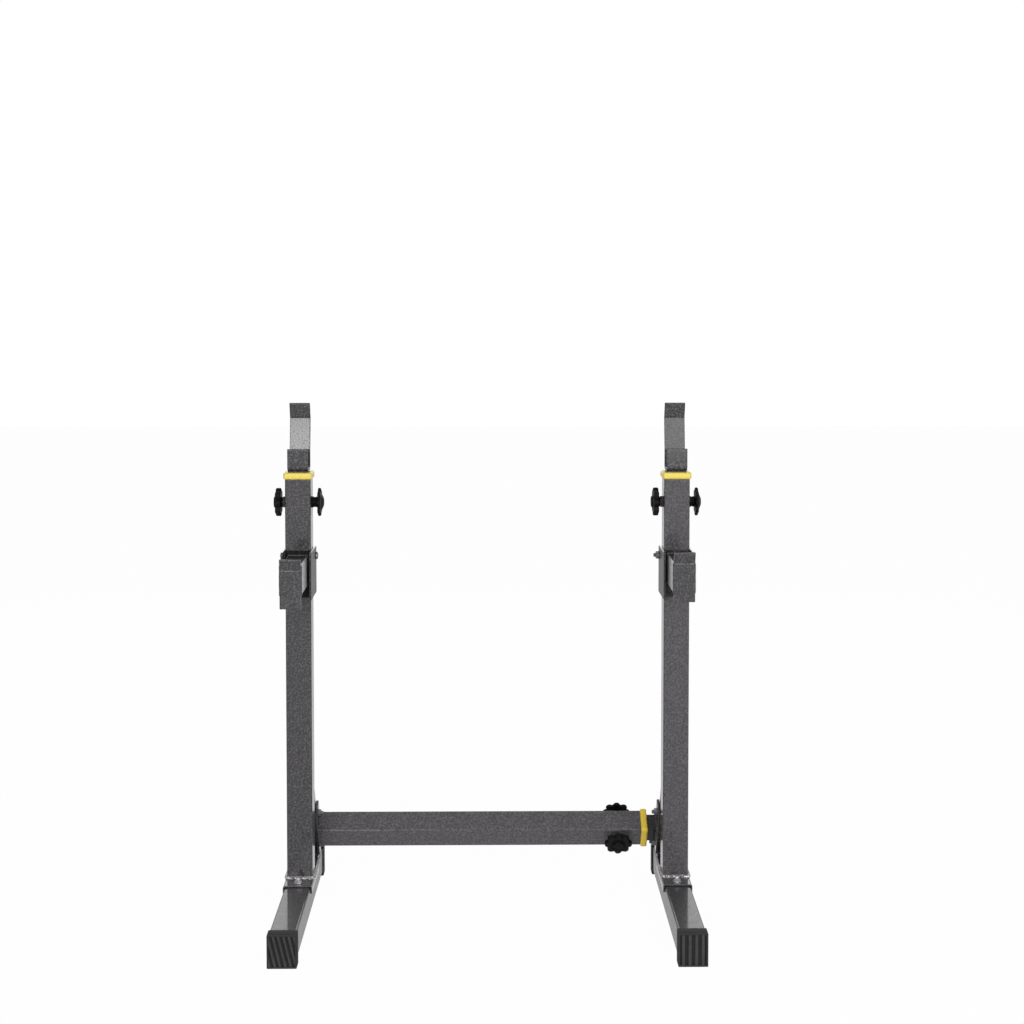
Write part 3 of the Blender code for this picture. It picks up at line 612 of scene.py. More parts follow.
def bent_path(path, radius, steps=7, flat=0.0008):
    """A path whose corners are arcs, as points and the directions to the left of travel: each
    arc's centre less its radius times the turning normal."""
    path = np.array(path, float)
    lengths = np.linalg.norm(np.diff(path, axis=0), axis=1)
    along = np.diff(path, axis=0) / lengths[:, None]
    left = np.column_stack([-along[:, 1], along[:, 0]])
    points = [path[:1]]
    normals = [left[:1]]
    for corner in range(1, len(path) - 1):
        before, after = along[corner - 1], along[corner]
        turn = math.atan2(before[0] * after[1] - before[1] * after[0], before @ after)
        side = math.copysign(1.0, turn)
        tangent = math.tan(abs(turn) / 2)
        room = 0.49 * min(lengths[corner - 1], lengths[corner])
        arc = min(radius, (room - flat) / tangent if room > flat else room / tangent)
        start = path[corner] - before * arc * tangent
        end = path[corner] + after * arc * tangent
        centre = start + side * arc * left[corner - 1]
        angle = turn * np.linspace(0.0, 1.0, steps + 1)[:, None]
        x, y = left[corner - 1]
        cosine, sine = np.cos(angle), np.sin(angle)
        normal = np.hstack([x * cosine - y * sine, x * sine + y * cosine])
        ring = centre - side * arc * normal
        points += [[start - before * flat], ring, [end + after * flat]]
        normals += [normal[:1], normal, normal[-1:]]
    points.append(path[-1:])
    normals.append(left[-1:])
    return np.concatenate(points), np.concatenate(normals)


def strip_outline(path, thickness, bend, end=0.0018, flat=0.0008):
    """A bent sheet seen from its edge, as an outline: half its thickness to each side of the
    path, and round corners at its two ends. A point before each keeps the flats flat."""
    points, left = bent_path(path, bend + thickness / 2)
    points = np.concatenate([points[:1], points, points[-1:]])
    left = np.concatenate([left[:1], left, left[-1:]])
    ahead = np.column_stack([left[:, 1], -left[:, 0]])
    points[:2] += ahead[0] * np.array([[end], [end + flat]])
    points[-2:] -= ahead[-1] * np.array([[end + flat], [end]])
    angle = np.linspace(0.0, math.pi / 2, 5)[1:, None]
    reach = thickness / 2 - end
    outline = []
    normals = []
    for run, across in ((points, left), (points[::-1], -left[::-1])):
        tip, near = run[-1], across[-1]
        out = np.array([near[1], -near[0]])
        first = np.sin(angle) * out - np.cos(angle) * near
        second = (np.cos(angle) * out + np.sin(angle) * near)[:-1]
        outline += [run - across * thickness / 2, tip - near * reach + first * end]
        outline.append(tip + near * reach + second * end)
        normals += [-across, first, second]
    return np.concatenate(outline), np.concatenate(normals)


def rounded_end(edge, flat=0.0005, steps=3):
    """Rows of how far in and how far below the end, over a quarter circle from the side to
    the end face. A row before and after it keeps the faces flat."""
    angle = np.linspace(0.0, math.pi / 2, steps + 1)
    inset = np.concatenate([[0.0], edge * (1 - np.cos(angle)), [edge + flat]])
    below = np.concatenate([[edge + flat], edge * (1 - np.sin(angle)), [0.0]])
    return list(zip(inset, below))


def stack(levels, closed=False):
    """Outlines one above another: each level's ring is its outline moved in along the normals
    by its inset, at its height."""
    rings = [
        np.column_stack([points - normals * inset, np.full(len(points), height)])
        for (points, normals), inset, height in levels
    ]
    return skin(np.array(rings), closed)


def lower_rim(outline, low, *edge):
    """Levels from a lower end face out round the rim to the side."""
    return [(outline, inset, low + past) for inset, past in reversed(rounded_end(*edge))]


def upper_rim(outline, high, *edge):
    """Levels from the side in round the rim to an upper end face."""
    return [(outline, inset, high - below) for inset, below in rounded_end(*edge)]


def extruded(outline, low, high, edge=0.0008):
    """An outline drawn straight up from low to high, with both rims rounded over."""
    return stack(lower_rim(outline, low, edge) + upper_rim(outline, high, edge))


def wall_section(wall, edge=0.0004, flat=0.0003):
    """Section of a tube's wall as a closed loop: rows of how far in from the outer face, which
    end of the tube (0 or 1), and how far past that end."""
    rows = rounded_end(edge, flat, 2)
    section = [(inset, 0, below) for inset, below in reversed(rows)]
    section += [(inset, 1, -below) for inset, below in rows]
    section += [(wall - inset, 1, -below) for inset, below in reversed(rows)]
    section += [(wall - inset, 0, below) for inset, below in rows]
    return np.array(section)


def tube(outline, wall, low, high, slopes=(0.0, 0.0)):
    """The section of a tube's wall carried round an outline. Each end's height changes with y
    by its slope, as where the tube is cut on a slant."""
    points, normals = outline
    inset, end, past = wall_section(wall).T[:, :, None]
    flat = points[None] - normals[None] * inset[:, :, None]
    height = low + (high - low) * end + past
    height = height + (slopes[0] + (slopes[1] - slopes[0]) * end) * flat[:, :, 1]
    return skin(np.dstack([flat, height]), closed=True)


def hole_patches(side, half, holes, pitch, across):
    """The walls of a row of round holes, and the flats between each hole and its rectangle of
    the row's pitch: points at even angles on the circle are joined to points at even steps
    round the rectangle."""
    turn = np.arange(4 * across) / (4 * across) * 2 * math.pi - math.pi / 4
    circle = np.column_stack([np.cos(turn), np.sin(turn)])
    even = np.linspace(-1.0, 1.0, across + 1)[:-1]
    ones = np.ones(across)
    sides = [(ones, even), (-even, ones), (-ones, -even), (even, -ones)]
    border = np.concatenate([np.column_stack(pair) for pair in sides]) * [half, pitch / 2]
    flat = circle * (HOLE_RADIUS + 3 * HOLE_CHAMFER)
    rim = circle * (HOLE_RADIUS + HOLE_CHAMFER)
    bore = circle * HOLE_RADIUS
    ring = np.array([border, flat, rim, bore, bore, rim, flat, border])
    inner = WALL - HOLE_CHAMFER
    depths = np.array([0, 0, 0, HOLE_CHAMFER, inner, WALL, WALL, WALL])
    x = np.broadcast_to(side / 2 - depths[:, None], ring.shape[:2])
    return [
        skin(np.dstack([x, ring[..., 0], ring[..., 1] + hole]), False, False) for hole in holes
    ]


def drilled_tube(side, radius, low, high, holes, pitch):
    """Square tube with a row of round holes in its +x side, as one shell. The tube's grid
    leaves the row's rectangles out, and each hole's patch fills one."""
    across = 6
    points, normals = square(side, radius)
    half = points[0, 1]
    between = np.linspace(-half, half, across + 1)[1:-1]
    strip = np.column_stack([np.full(across - 1, side / 2), between])
    first = len(points) - 1
    points = np.vstack([points, strip])
    normals = np.vstack([normals, np.tile([1.0, 0.0], (across - 1, 1))])
    row_low = holes[-1] - pitch / 2
    row_high = holes[0] + pitch / 2
    steps = np.linspace(row_low, row_high, across * len(holes) + 1)
    inset, end, past = wall_section(WALL).T
    rows = np.split(np.column_stack([inset, low + (high - low) * end + past]), 4)
    rows.insert(1, np.column_stack([steps * 0, steps]))
    rows.insert(4, np.column_stack([steps * 0 + WALL, steps[::-1]]))
    insets, heights = np.concatenate(rows).T
    flat = points[None] - normals[None] * insets[:, None, None]
    rings = np.dstack([flat, np.broadcast_to(heights[:, None], flat.shape[:2])])
    grid, faces = skin(rings, closed=True)
    corners = np.array(faces)
    column = corners[:, 0] % len(points)
    middle = grid[corners][:, :, 2].mean(1)
    drilled = (column >= first) & (middle > row_low) & (middle < row_high)
    plain = (grid, corners[~drilled].tolist())
    return joined([plain] + hole_patches(side, half, holes, pitch, across))


def joined(shells):
    """Several open pieces of surface made one shell, with their shared points merged."""
    points, faces = gathered(shells)
    keys = np.round(points / 2e-6).astype(np.int64)
    used = np.unique(np.concatenate([np.array(face) for face in faces]))
    kept, same = np.unique(keys[used], axis=0, return_inverse=True)
    number = np.zeros(len(points), int)
    number[used] = same.ravel()
    merged = np.zeros((len(kept), 3))
    merged[number[used]] = points[used]
    return merged, [[int(number[corner]) for corner in face] for face in faces]


def spun(radii, heights):
    """Rings of points about the z axis. A row's radius and its height are each one number, or
    one for each angle."""
    radii = np.stack([np.broadcast_to(radius, ROUND) for radius in radii])
    heights = np.stack([np.broadcast_to(height, ROUND) for height in heights])
    return skin(np.dstack([radii * np.cos(AROUND), radii * np.sin(AROUND), heights]))


def turned(profile, rounding=0.0004):
    """A profile of radius and height, from its lower end to its upper, with rounded corners,
    turned about the z axis."""
    points = bent_path(profile, rounding, 3, 0.0002)[0]
    return spun(np.maximum(points[:, 0], 0.00005), points[:, 1])


def disc(radius, low, high, rounding=0.0004):
    """A round bar or washer."""
    return turned([(0.0, low), (radius, low), (radius, high), (0.0, high)], rounding)


def hexagon_radius(across):
    """Radius of a hexagon at each angle: half the distance across its flats, over the cosine
    of the angle from the middle of the flat, with the corners taken off a little."""
    off = (AROUND + math.pi / 6) % (math.pi / 3) - math.pi / 6
    return np.minimum(across / 2 / np.cos(off), across * 0.568)


def hexagon_nut(across, low, high):
    """Six-sided prism whose corners a cone cuts off at both ends."""
    radius = hexagon_radius(across)
    cut = np.maximum(radius - across * 0.49, 0.0) * 0.6
    inner = across * 0.47
    return spun([inner, radius, radius, inner], [low, low + cut, high - cut, high])


def thread(radius, low, high):
    """Screw thread: the radius falls by the depth times a triangle wave of the height over the
    pitch less the turn, and tapers at its tip."""
    height = np.linspace(low, high, int((high - low) / THREAD_PITCH * 8) + 2)[:, None]
    wave = np.abs((height / THREAD_PITCH - AROUND / (2 * math.pi)) % 1.0 * 2 - 1)
    taper = np.clip(1.0 - (high - height) / THREAD_TAPER, 0.0, 1.0) * THREAD_TAPER
    return spun(radius - THREAD_DEPTH * wave - taper, height)


def bolt_shells(grip):
    """Button-head bolt with a six-sided socket, washer, nut and thread. Local z runs from
    under the head, at -GAP, through the grip to the nut."""
    top = GAP + BOLT_HEAD_HEIGHT
    socket = hexagon_radius(SOCKET_ACROSS)
    arc = np.linspace(0.12, 1.0, 7) * math.pi / 2
    dome = BOLT_HEAD_RADIUS - BOLT_DOME + BOLT_DOME * np.sin(arc)
    dome_z = -GAP - BOLT_RIM - (BOLT_HEAD_HEIGHT - BOLT_RIM) * np.cos(arc)
    radii = [socket * 0.92, socket, socket + 0.0003, *dome, BOLT_HEAD_RADIUS - 0.0002]
    heights = [-top + SOCKET_DEPTH, -top + 0.0020, -top, *dome_z, -GAP]
    head = spun(radii, heights)
    shank = disc(BOLT_RADIUS, 0.0, grip)
    low = grip + GAP + WASHER_HEIGHT
    high = grip + GAP + BOLT_NUT_HEIGHT
    washer = disc(WASHER_RADIUS, grip + GAP, low, 0.0003)
    nut = hexagon_nut(BOLT_NUT_ACROSS, low, high)
    return [head, shank, washer, nut, thread(BOLT_RADIUS, high - 0.0005, high + BOLT_TIP)]


def bolt(name, body, grip, at, finish=AGED_ZINC):
    """A bolt with its nut, through parts as thick as the grip."""
    piece(name + "_hardware", body, finish, bolt_shells(grip), at, [name])


def distances(points):
    """How far along a line of points each of them lies."""
    steps = np.linalg.norm(np.diff(points, axis=0), axis=1)
    return np.concatenate([[0.0], np.cumsum(steps)])


def bead(points, outwards, size, closed=True):
    """Weld bead along a line: a circle in the plane of the outward direction and the one
    square to it and the line. Its radius rises and falls with the distance like a row of
    coins, with a slower waver."""
    both = np.hstack([points, outwards])
    if closed:
        both = np.vstack([both, both[:1]])
    length = distances(both[:, :3])
    coins = max(2, int(length[-1] / WELD_RIPPLE))
    along = np.linspace(0.0, length[-1], coins * 5 + (not closed), endpoint=not closed)
    both = np.column_stack([np.interp(along, length, values) for values in both.T])
    line, out = both[:, :3], both[:, 3:]
    out /= np.linalg.norm(out, axis=1)[:, None]
    if closed:
        ahead = np.roll(line, -1, 0) - np.roll(line, 1, 0)
    else:
        ahead = np.gradient(line, axis=0)
    ahead /= np.linalg.norm(ahead, axis=1)[:, None]
    beside = np.cross(ahead, out)
    coin = np.abs(np.sin(math.pi * along * coins / length[-1]))
    waver = np.sin(2 * math.pi * along / length[-1] * 5) + np.sin(along * 2 * math.pi / 0.017)
    radius = size * (0.80 + 0.20 * coin + 0.05 * waver)
    if not closed:
        radius = radius * np.clip(np.minimum(along, length[-1] - along) / size + 0.3, 0, 1)
    angle = (2 * math.pi * np.arange(10) / 10)[None, :, None]
    across = np.cos(angle) * out[:, None] + np.sin(angle) * beside[:, None]
    return skin(line[:, None] + radius[:, None, None] * across, closed)


def bead_round(outline, height, size, slope=0.0):
    """Weld bead round an outline at a height that may change with y."""
    points, normals = outline
    line = np.column_stack([points, height + slope * points[:, 1]])
    return bead(line, np.column_stack([normals, normals[:, 0] * 0]), size)


def scallops():
    """How far each angle lies into the dips between a knob's lobes, from 0 to 1."""
    return ((1 - np.cos(KNOB_LOBES * AROUND)) / 2) ** KNOB_DIP_POWER


def star(profile, low, rounding):
    """Star knob: a profile of radius, height over its underside and depth of the dips, with
    rounded corners. The radius at an angle is the profile's less the dip's share there."""
    profile = np.array(profile) + [0.0, low, 0.0]
    points = bent_path(profile[:, :2], rounding, 4, 0.0002)[0]
    length = distances(profile[:, :2])
    walked = distances(points)
    dips = np.interp(walked / walked[-1] * length[-1], length, profile[:, 2])
    radii = np.maximum(points[:, :1] - dips[:, None] * scallops()[None], 0.00005)
    return spun(radii, points[:, 1])


def clamp_knob(name, body, at):
    """Star knob with a round hub and a raised middle, on its screw. Local z = 0 is the outer
    tube's face."""
    reach = (TUBE - POST) / 2 - GAP
    low = CLAMP_NUT_HEIGHT + 2 * GAP
    profile = [
        (0.0, 0.0, 0.0),
        (0.0100, 0.0, 0.0),
        (0.0104, 0.0024, 0.0),
        (KNOB_RADIUS - 0.0015, 0.0026, KNOB_DIP),
        (KNOB_RADIUS, 0.0042, KNOB_DIP),
        (KNOB_RADIUS, 0.0116, KNOB_DIP),
        (KNOB_RADIUS - 0.0016, 0.0132, KNOB_DIP),
        (0.0170, 0.0134, 0.0),
        (0.0140, 0.0112, 0.0),
        (0.0118, 0.0116, 0.0),
        (0.0110, 0.0158, 0.0),
        (0.0096, 0.0172, 0.0),
        (0.0082, 0.0158, 0.0),
        (0.0040, 0.0165, 0.0),
        (0.0, 0.0174, 0.0),
    ]
    screw = thread(CLAMP_SCREW_RADIUS, -low - 0.0005, reach)
    screw = moved(screw, spot((0, 0, 0), BACK, RIGHT))
    piece(name + "_star", body, PLASTIC, [star(profile, low, 0.0016)], at, [name])
    piece(name + "_screw", body, ZINC, [screw], at)


def pull_pin(name, body, at):
    """Pull knob with a thin scalloped rim and a coned top, on a round pin."""
    tip = -(TUBE - POST) / 2 - WALL - PIN_BITE
    low = HOUSING_HEIGHT + 2 * GAP
    high = low + 0.001
    profile = [
        (0.0, 0.0, 0.0),
        (0.0120, 0.0, 0.0),
        (0.0160, 0.0004, 0.0),
        (KNOB_RADIUS - 0.0012, 0.0006, KNOB_DIP),
        (KNOB_RADIUS, 0.0018, KNOB_DIP),
        (KNOB_RADIUS, 0.0050, KNOB_DIP),
        (KNOB_RADIUS - 0.0016, 0.0066, KNOB_DIP),
        (0.0175, 0.0074, 0.0008),
        (0.0110, 0.0104, 0.0),
        (0.0070, 0.0120, 0.0),
        (0.0, 0.0124, 0.0),
    ]
    point = [(0.0, tip), (PIN_RADIUS - 0.0010, tip), (PIN_RADIUS, tip + 0.0010)]
    pin = turned(point + [(PIN_RADIUS, high), (0.0, high)])
    piece(name + "_star", body, PLASTIC, [star(profile, low, 0.0014)], at, [name])
    piece(name + "_shaft", body, ZINC, [pin], at)


def pin_housing(name, body, at):
    """Threaded bush that the pull pin slides in: a flange on the tube, a grooved barrel and a
    rounded mouth round the pin."""
    bore = PIN_RADIUS + GAP
    profile = [
        (bore, 0.0006),
        (bore, HOUSING_HEIGHT + GAP - 0.0004),
        (bore + 0.0006, HOUSING_HEIGHT + GAP),
        (0.0092, HOUSING_HEIGHT + GAP),
        (0.0102, HOUSING_HEIGHT - 0.0010),
        (0.0102, 0.0072),
        (0.0094, 0.0066),
        (0.0094, 0.0056),
        (0.0102, 0.0050),
        (0.0102, 0.0030),
        (0.0110, 0.0026),
        (0.0110, GAP),
        (bore + 0.0003, GAP),
    ]
    points = np.array(profile)[::-1]
    rings = spun(points[:, 0], points[:, 1])[0].reshape(len(points), ROUND, 3)
    piece(name + "_bush", body, PLASTIC, [skin(rings, closed=True)], at, [name])


def collar(name, body, finish, at):
    """Collar with a soft square flange and a sleeve down inside the tube, one closed wall."""
    bore = square(POST + 2 * GAP, POST_RADIUS)
    liner = square(TUBE_BORE, TUBE_RADIUS - WALL)
    flange = square(COLLAR_SIDE, COLLAR_CORNER)
    top = GAP + COLLAR_FLANGE
    edge = (COLLAR_EDGE, 0.0006, 5)
    levels = [(liner, 0.0008, -COLLAR_SLEEVE), (liner, 0.0, -COLLAR_SLEEVE + 0.0008)]
    levels += [(liner, 0.0, GAP)]
    levels += lower_rim(flange, GAP, *edge)[1:-1] + upper_rim(flange, top, *edge)[1:-1]
    levels += [(bore, -0.0012, top), (bore, -0.0006, top - 0.0002), (bore, 0.0, top - 0.0010)]
    levels += [(bore, 0.0, -COLLAR_SLEEVE + 0.0006), (bore, -0.0006, -COLLAR_SLEEVE)]
    piece(name + "_moulding", body, finish, [stack(levels, closed=True)], at, [name])


def glide(name, body, at):
    """Cup on an inner tube's hidden end, with a rounded foot."""
    outer = square(TUBE_BORE, TUBE_RADIUS - WALL)
    pocket = square(POST + 2 * GAP, POST_RADIUS)
    low = -GAP - GLIDE_END
    high = GLIDE_LENGTH - GLIDE_END
    levels = lower_rim(outer, low, 0.001) + upper_rim(outer, high, 0.0006, 0.0003)
    levels += [(pocket, -0.0005, high), (pocket, 0.0, high - 0.0005), (pocket, 0.0, -GAP)]
    piece(name + "_cup", body, PLASTIC, [stack(levels)], at, [name])


def telescope(prefix, at, bodies, nodes, paints, outer_length, shows, inner_length, holes, pitch):
    """Outer tube, inner tube and all that guides and locks them. Local z = 0 is the outer
    tube's open end, z points out of it, and the pull pin is on the +x side."""
    outer_body, inner_body = bodies
    outer, inner = nodes
    outer_paint, inner_paint, yellow = paints
    sleeve = tube(square(TUBE, TUBE_RADIUS), WALL, -outer_length, 0.0)
    piece(outer + "_tube", outer_body, outer_paint, [sleeve], at, [outer])
    high = GAP + COLLAR_FLANGE + shows
    low = high - inner_length
    rows = -KNOB_DROP - pitch * np.arange(holes)
    slider = drilled_tube(POST, POST_RADIUS, low, high, rows, pitch)
    piece(inner + "_tube", inner_body, inner_paint, [slider], at, [inner])
    collar(prefix + "_collar", outer_body, yellow, at)
    glide(prefix + "_glide", inner_body, spot((0, 0, low), inside=at))
    out_pin = spot((TUBE / 2, 0, -KNOB_DROP), BACK, UP, at)
    out_clamp = spot((-TUBE / 2, 0, -KNOB_DROP), -BACK, UP, at)
    pin_housing(prefix + "_pin_housing", outer_body, out_pin)
    pull_pin(prefix + "_pull_pin", prefix + "_pull_pin", out_pin)
    nut = hexagon_nut(CLAMP_NUT_ACROSS, GAP, GAP + CLAMP_NUT_HEIGHT)
    weld = bead_round(round_outline(CLAMP_NUT_ACROSS * 0.53), GAP + 0.0006, NUT_WELD)
    piece(prefix + "_clamp_boss", outer_body, OXIDE, [nut], out_clamp, [prefix + "_clamp_nut"])
    piece(prefix + "_clamp_weld", outer_body, HAMMERED, [weld], out_clamp)
    clamp_knob(prefix + "_clamp_knob", prefix + "_clamp_knob", out_clamp)


def cap_wall(width, height):
    """A foot cap's wall from its pocket, out over its open end and its groove, to its rim and
    in to its recess. The height is up from the floor, and z = 0 is the face."""
    pocket = lifted(square(CAP_POCKET, TUBE_RADIUS), CAP_SOLE + CAP_POCKET / 2)
    outer = lifted(rounded_outline(width, height, CAP_CORNER), height / 2)
    window = rounded_outline(width - 2 * CAP_RIM, height - 2 * CAP_RIM, 0.0012)
    window = lifted(window, height / 2)
    mouth = -CAP_END - CAP_SLEEVE
    levels = [(pocket, 0.0, -CAP_END), (pocket, 0.0, mouth + 0.0005)]
    levels += [(pocket, -0.0004, mouth)]
    levels += lower_rim(outer, mouth, 0.0005, 0.0002)
    levels += [(outer, inset, -CAP_END + up) for inset, up in CAP_GROOVE]
    levels += upper_rim(outer, 0.0, 0.0012)
    levels += [(window, -0.0006, 0.0), (window, -0.0002, -0.0002), (window, 0.0, -0.0006)]
    levels += [(window, 0.0, -CAP_RECESS - 0.0006)]
    return stack(levels)


def ribbed_panel(width, height, slant, ribs):
    """The panel inside a foot cap's rim, and the painted shade of each of its points, from 0 to
    1, as deep as it lies between the ribs.
    Its height is a row of round ribs: a cosine of x, leaning by the slant, cut flat on top and
    between."""
    reach_x = width / 2 - CAP_RIM + 0.0002
    reach_y = height / 2 - CAP_RIM + 0.0002
    x = np.linspace(-reach_x, reach_x, 121)[None, :]
    y = np.linspace(-reach_y, reach_y, 25)[:, None]
    turns = (x + slant * y) / reach_x / 2 * ribs - 0.5 * (ribs + 1)
    wave = 0.5 + 0.5 * np.cos(2 * math.pi * turns)
    ridge = np.clip(wave * 1.7 - 0.25, 0.0, 1.0)
    top = -CAP_RECESS + (CAP_RECESS - 0.0003) * ridge
    bottom = np.full(top.shape, -CAP_RECESS - 0.0008)
    x, y = np.broadcast_arrays(x, y + height / 2)
    upper = np.dstack([x, y, top])
    lower = np.dstack([x, y, bottom])[:, ::-1]
    # Painted shade: darker down the ribs' sides into the grooves, full on the panel's back.
    depth = np.concatenate([1.0 - ridge, np.ones(ridge.shape)], axis=1)
    return skin(np.concatenate([upper, lower], axis=1)), depth.ravel()


def foot_cap(name, body, at, slant, ribs):
    """Rubber cap on a foot's end. Local y is up from the floor, and z points out of the foot."""
    width = CAP_POCKET + 2 * CAP_WALL
    height = CAP_SOLE + CAP_POCKET + CAP_WALL
    wall = cap_wall(width, height)
    panel, panel_shade = ribbed_panel(width, height, slant, ribs)
    # Painted shade: the cap's whole wall at 0.65, the panel as deep as it lies between the ribs.
    depth = np.concatenate([np.full(len(wall[0]), 0.65), panel_shade])
    piece(name + "_moulding", body, RUBBER, [wall, panel], at, [name], 50.0, depth)


def foot(side):
    """Foot tube and its two caps."""
    body = side + "_frame"
    at = on_half(side, 0.0, CAP_SOLE + GAP + TUBE / 2, -RIGHT, UP)
    front = -FOOT_FRONT_REACH + CAP_END + GAP
    rear = FOOT_REAR_REACH - CAP_END - GAP
    shell = tube(square(TUBE, TUBE_RADIUS), WALL, front, rear)
    piece(side + "_foot_tube", body, FOOT_PAINT, [shell], at, [side + "_foot"])
    front_at = on_half(side, -FOOT_FRONT_REACH, 0.0, RIGHT, UP)
    rear_at = on_half(side, FOOT_REAR_REACH, 0.0, -RIGHT, UP)
    foot_cap(side + "_front_foot_cap", body, front_at, *CAP_RIBS[side])
    foot_cap(side + "_rear_foot_cap", body, rear_at, *CAP_RIBS["right"])


def saddle(side):
    """Sheet folded over the foot, with the upright's weld and two bolts through the foot."""
    body = side + "_frame"
    edge = TUBE / 2 + GAP + SADDLE_SHEET / 2
    low = FOOT_TOP - SADDLE_FLANGE
    roof = FOOT_TOP + GAP + SADDLE_SHEET / 2
    path = [(edge, low), (edge, roof), (-edge, roof), (-edge, low)]
    sheet = strip_outline(path, SADDLE_SHEET, 0.0018, 0.0013)
    shell = extruded(sheet, -SADDLE_LENGTH / 2, SADDLE_LENGTH / 2, 0.0006)
    at = on_half(side, 0.0, 0.0, RIGHT, UP)
    piece(side + "_saddle_sheet", body, HAMMERED, [shell], at, [side + "_saddle"])
    weld = bead_round(square(TUBE, TUBE_RADIUS), 0.0006, UPRIGHT_WELD)
    at = on_half(side, 0.0, SADDLE_TOP)
    piece(side + "_upright_weld", body, WELD, [weld], at)
    grip = SADDLE_TOP - CAP_SOLE - GAP
    for end, y in (("front", -SADDLE_BOLT), ("rear", SADDLE_BOLT)):
        at = on_half(side, y, CAP_SOLE + GAP)
        bolt(f"{side}_saddle_bolt_{end}", body, grip, at, ZINC)


def brace(side):
    """Sloping tube cut level on the foot and upright against the upright's back, with a weld
    round each end. Local z runs up along it."""
    at = spot(LANDING + RIGHT * SIDE_X[side], RIGHT, OFF_BRACE)
    cosine, sine = math.cos(BRACE_ANGLE), math.sin(BRACE_ANGLE)
    top = (LANDING[1] - UPRIGHT_Y - TUBE / 2 - GAP) / cosine
    slopes = (-cosine / sine, sine / cosine)
    section = square(BRACE, POST_RADIUS)
    shell = tube(section, WALL, 0.0, top, slopes)
    piece(side + "_brace_tube", side + "_frame", BRACE_PAINT, [shell], at, [side + "_brace"])
    welds = [bead_round(section, 0.0008, BRACE_WELD, slopes[0])]
    welds.append(bead_round(section, top - 0.0008, BRACE_WELD, slopes[1]))
    piece(side + "_brace_welds", side + "_frame", HAMMERED, welds, at)


def catch_bracket(side, bolt_y):
    """Two side plates, and the web that joins them in front of the upright."""
    body = side + "_frame"
    back = bolt_y + CATCH_BOLT_EDGE
    front = -TUBE / 2 - CATCH_FRONT_REACH
    outline = rounded_outline(back - front, CATCH_TOP - CATCH_BOTTOM, CATCH_CORNER)
    at = on_half(side, (back + front) / 2, (CATCH_TOP + CATCH_BOTTOM) / 2, BACK, UP)
    cheeks = [extruded(outline, CHEEK_INNER, CHEEK_OUTER)]
    cheeks.append(extruded(outline, -CHEEK_OUTER, -CHEEK_INNER))
    name = side + "_catch_bracket"
    piece(name + "_plates", body, BRACKET_PAINT, cheeks, at, [name])
    outline = rounded_outline(2 * CHEEK_INNER + 0.0004, CATCH_SHEET, 0.0010, 2, 0.0002)
    web = extruded(outline, CATCH_BOTTOM + 0.0004, CATCH_TOP - 0.0004, 0.0003)
    at = on_half(side, WEB_FRONT + CATCH_SHEET / 2)
    # The web's darker paint is painted shade of the recess between the side plates.
    piece(side + "_catch_web", body, SHADED_WEB_PAINT[side], [web], at)


def web_seams():
    """Weld beads up the two corners between the web and the side plates."""
    seams = []
    for edge in (-1, 1):
        ends = (CATCH_BOTTOM + 0.002, CATCH_TOP - 0.002)
        line = np.array([(edge * CHEEK_INNER, WEB_FRONT, z) for z in ends])
        out = np.array([[-edge * 0.7, -0.7, 0.0]] * 2)
        seams.append(bead(line, out, SEAM_WELD, closed=False))
    return seams


def catch_arm(side):
    """Arm from the web to the front plate, and all of the catch's welds."""
    body = side + "_frame"
    middle = CATCH_BOTTOM + ARM_INSET + ARM_RISE[side] + ARM_HEIGHT / 2
    front = PLATE_FACE + PLATE_SHEET + GAP
    back = WEB_FRONT - GAP
    section = rounded_outline(ARM_WIDTH, ARM_HEIGHT, ARM_RADIUS)
    at = on_half(side, 0.0, middle, -RIGHT, UP)
    arm = tube(section, ARM_WALL, front, back)
    # The arm takes painted shade on its top and bottom and a painted highlight on its sides.
    piece(side + "_catch_arm_tube", body, SHADED_HIGHLIGHTED_ARM_PAINT, [arm], at, [side + "_catch_arm"])
    welds = [moved(seam, on_half(side)) for seam in web_seams()]
    welds.append(moved(bead_round(section, front + 0.0006, ARM_FRONT_WELD), at))
    welds.append(moved(bead_round(section, back - 0.0006, ARM_BACK_WELD), at))
    piece(side + "_catch_welds", body, HAMMERED, welds)


def catch_plate(side):
    """Plate on the arm's end, bent forward at its top, with a painted highlight along the bend: a
    thin bead in very light paint.
    """
    body = side + "_frame"
    middle = PLATE_FACE + PLATE_SHEET / 2
    low = CATCH_BOTTOM + ARM_INSET - PLATE_DROP + PLATE_RISE[side]
    high = low + PLATE_DROP + ARM_HEIGHT + PLATE_OVER
    bend = high - FLARE_RISE
    path = [(middle, low), (middle, bend), (middle - FLARE, high)]
    outline = strip_outline(path, PLATE_SHEET, BEND)
    plate = extruded(outline, -ARM_WIDTH / 2, ARM_WIDTH / 2, 0.001)
    at = on_half(side, 0.0, 0.0, BACK, UP)
    piece(side + "_catch_plate_bend", body, HAMMERED, [plate], at, [side + "_catch_plate"])
    # A thin bead in very light paint along the bend: a painted highlight, not a weld.
    reach = ARM_WIDTH / 2 - 0.0012
    line = np.array([[edge * reach, PLATE_FACE, bend] for edge in (-1, 1)])
    bend_highlight = bead(line, np.array([-BACK, -BACK]), BEND_HIGHLIGHT_BEAD, closed=False)
    piece(side + "_catch_bend_highlight", body, HIGHLIGHT_PAINT, [bend_highlight], on_half(side))


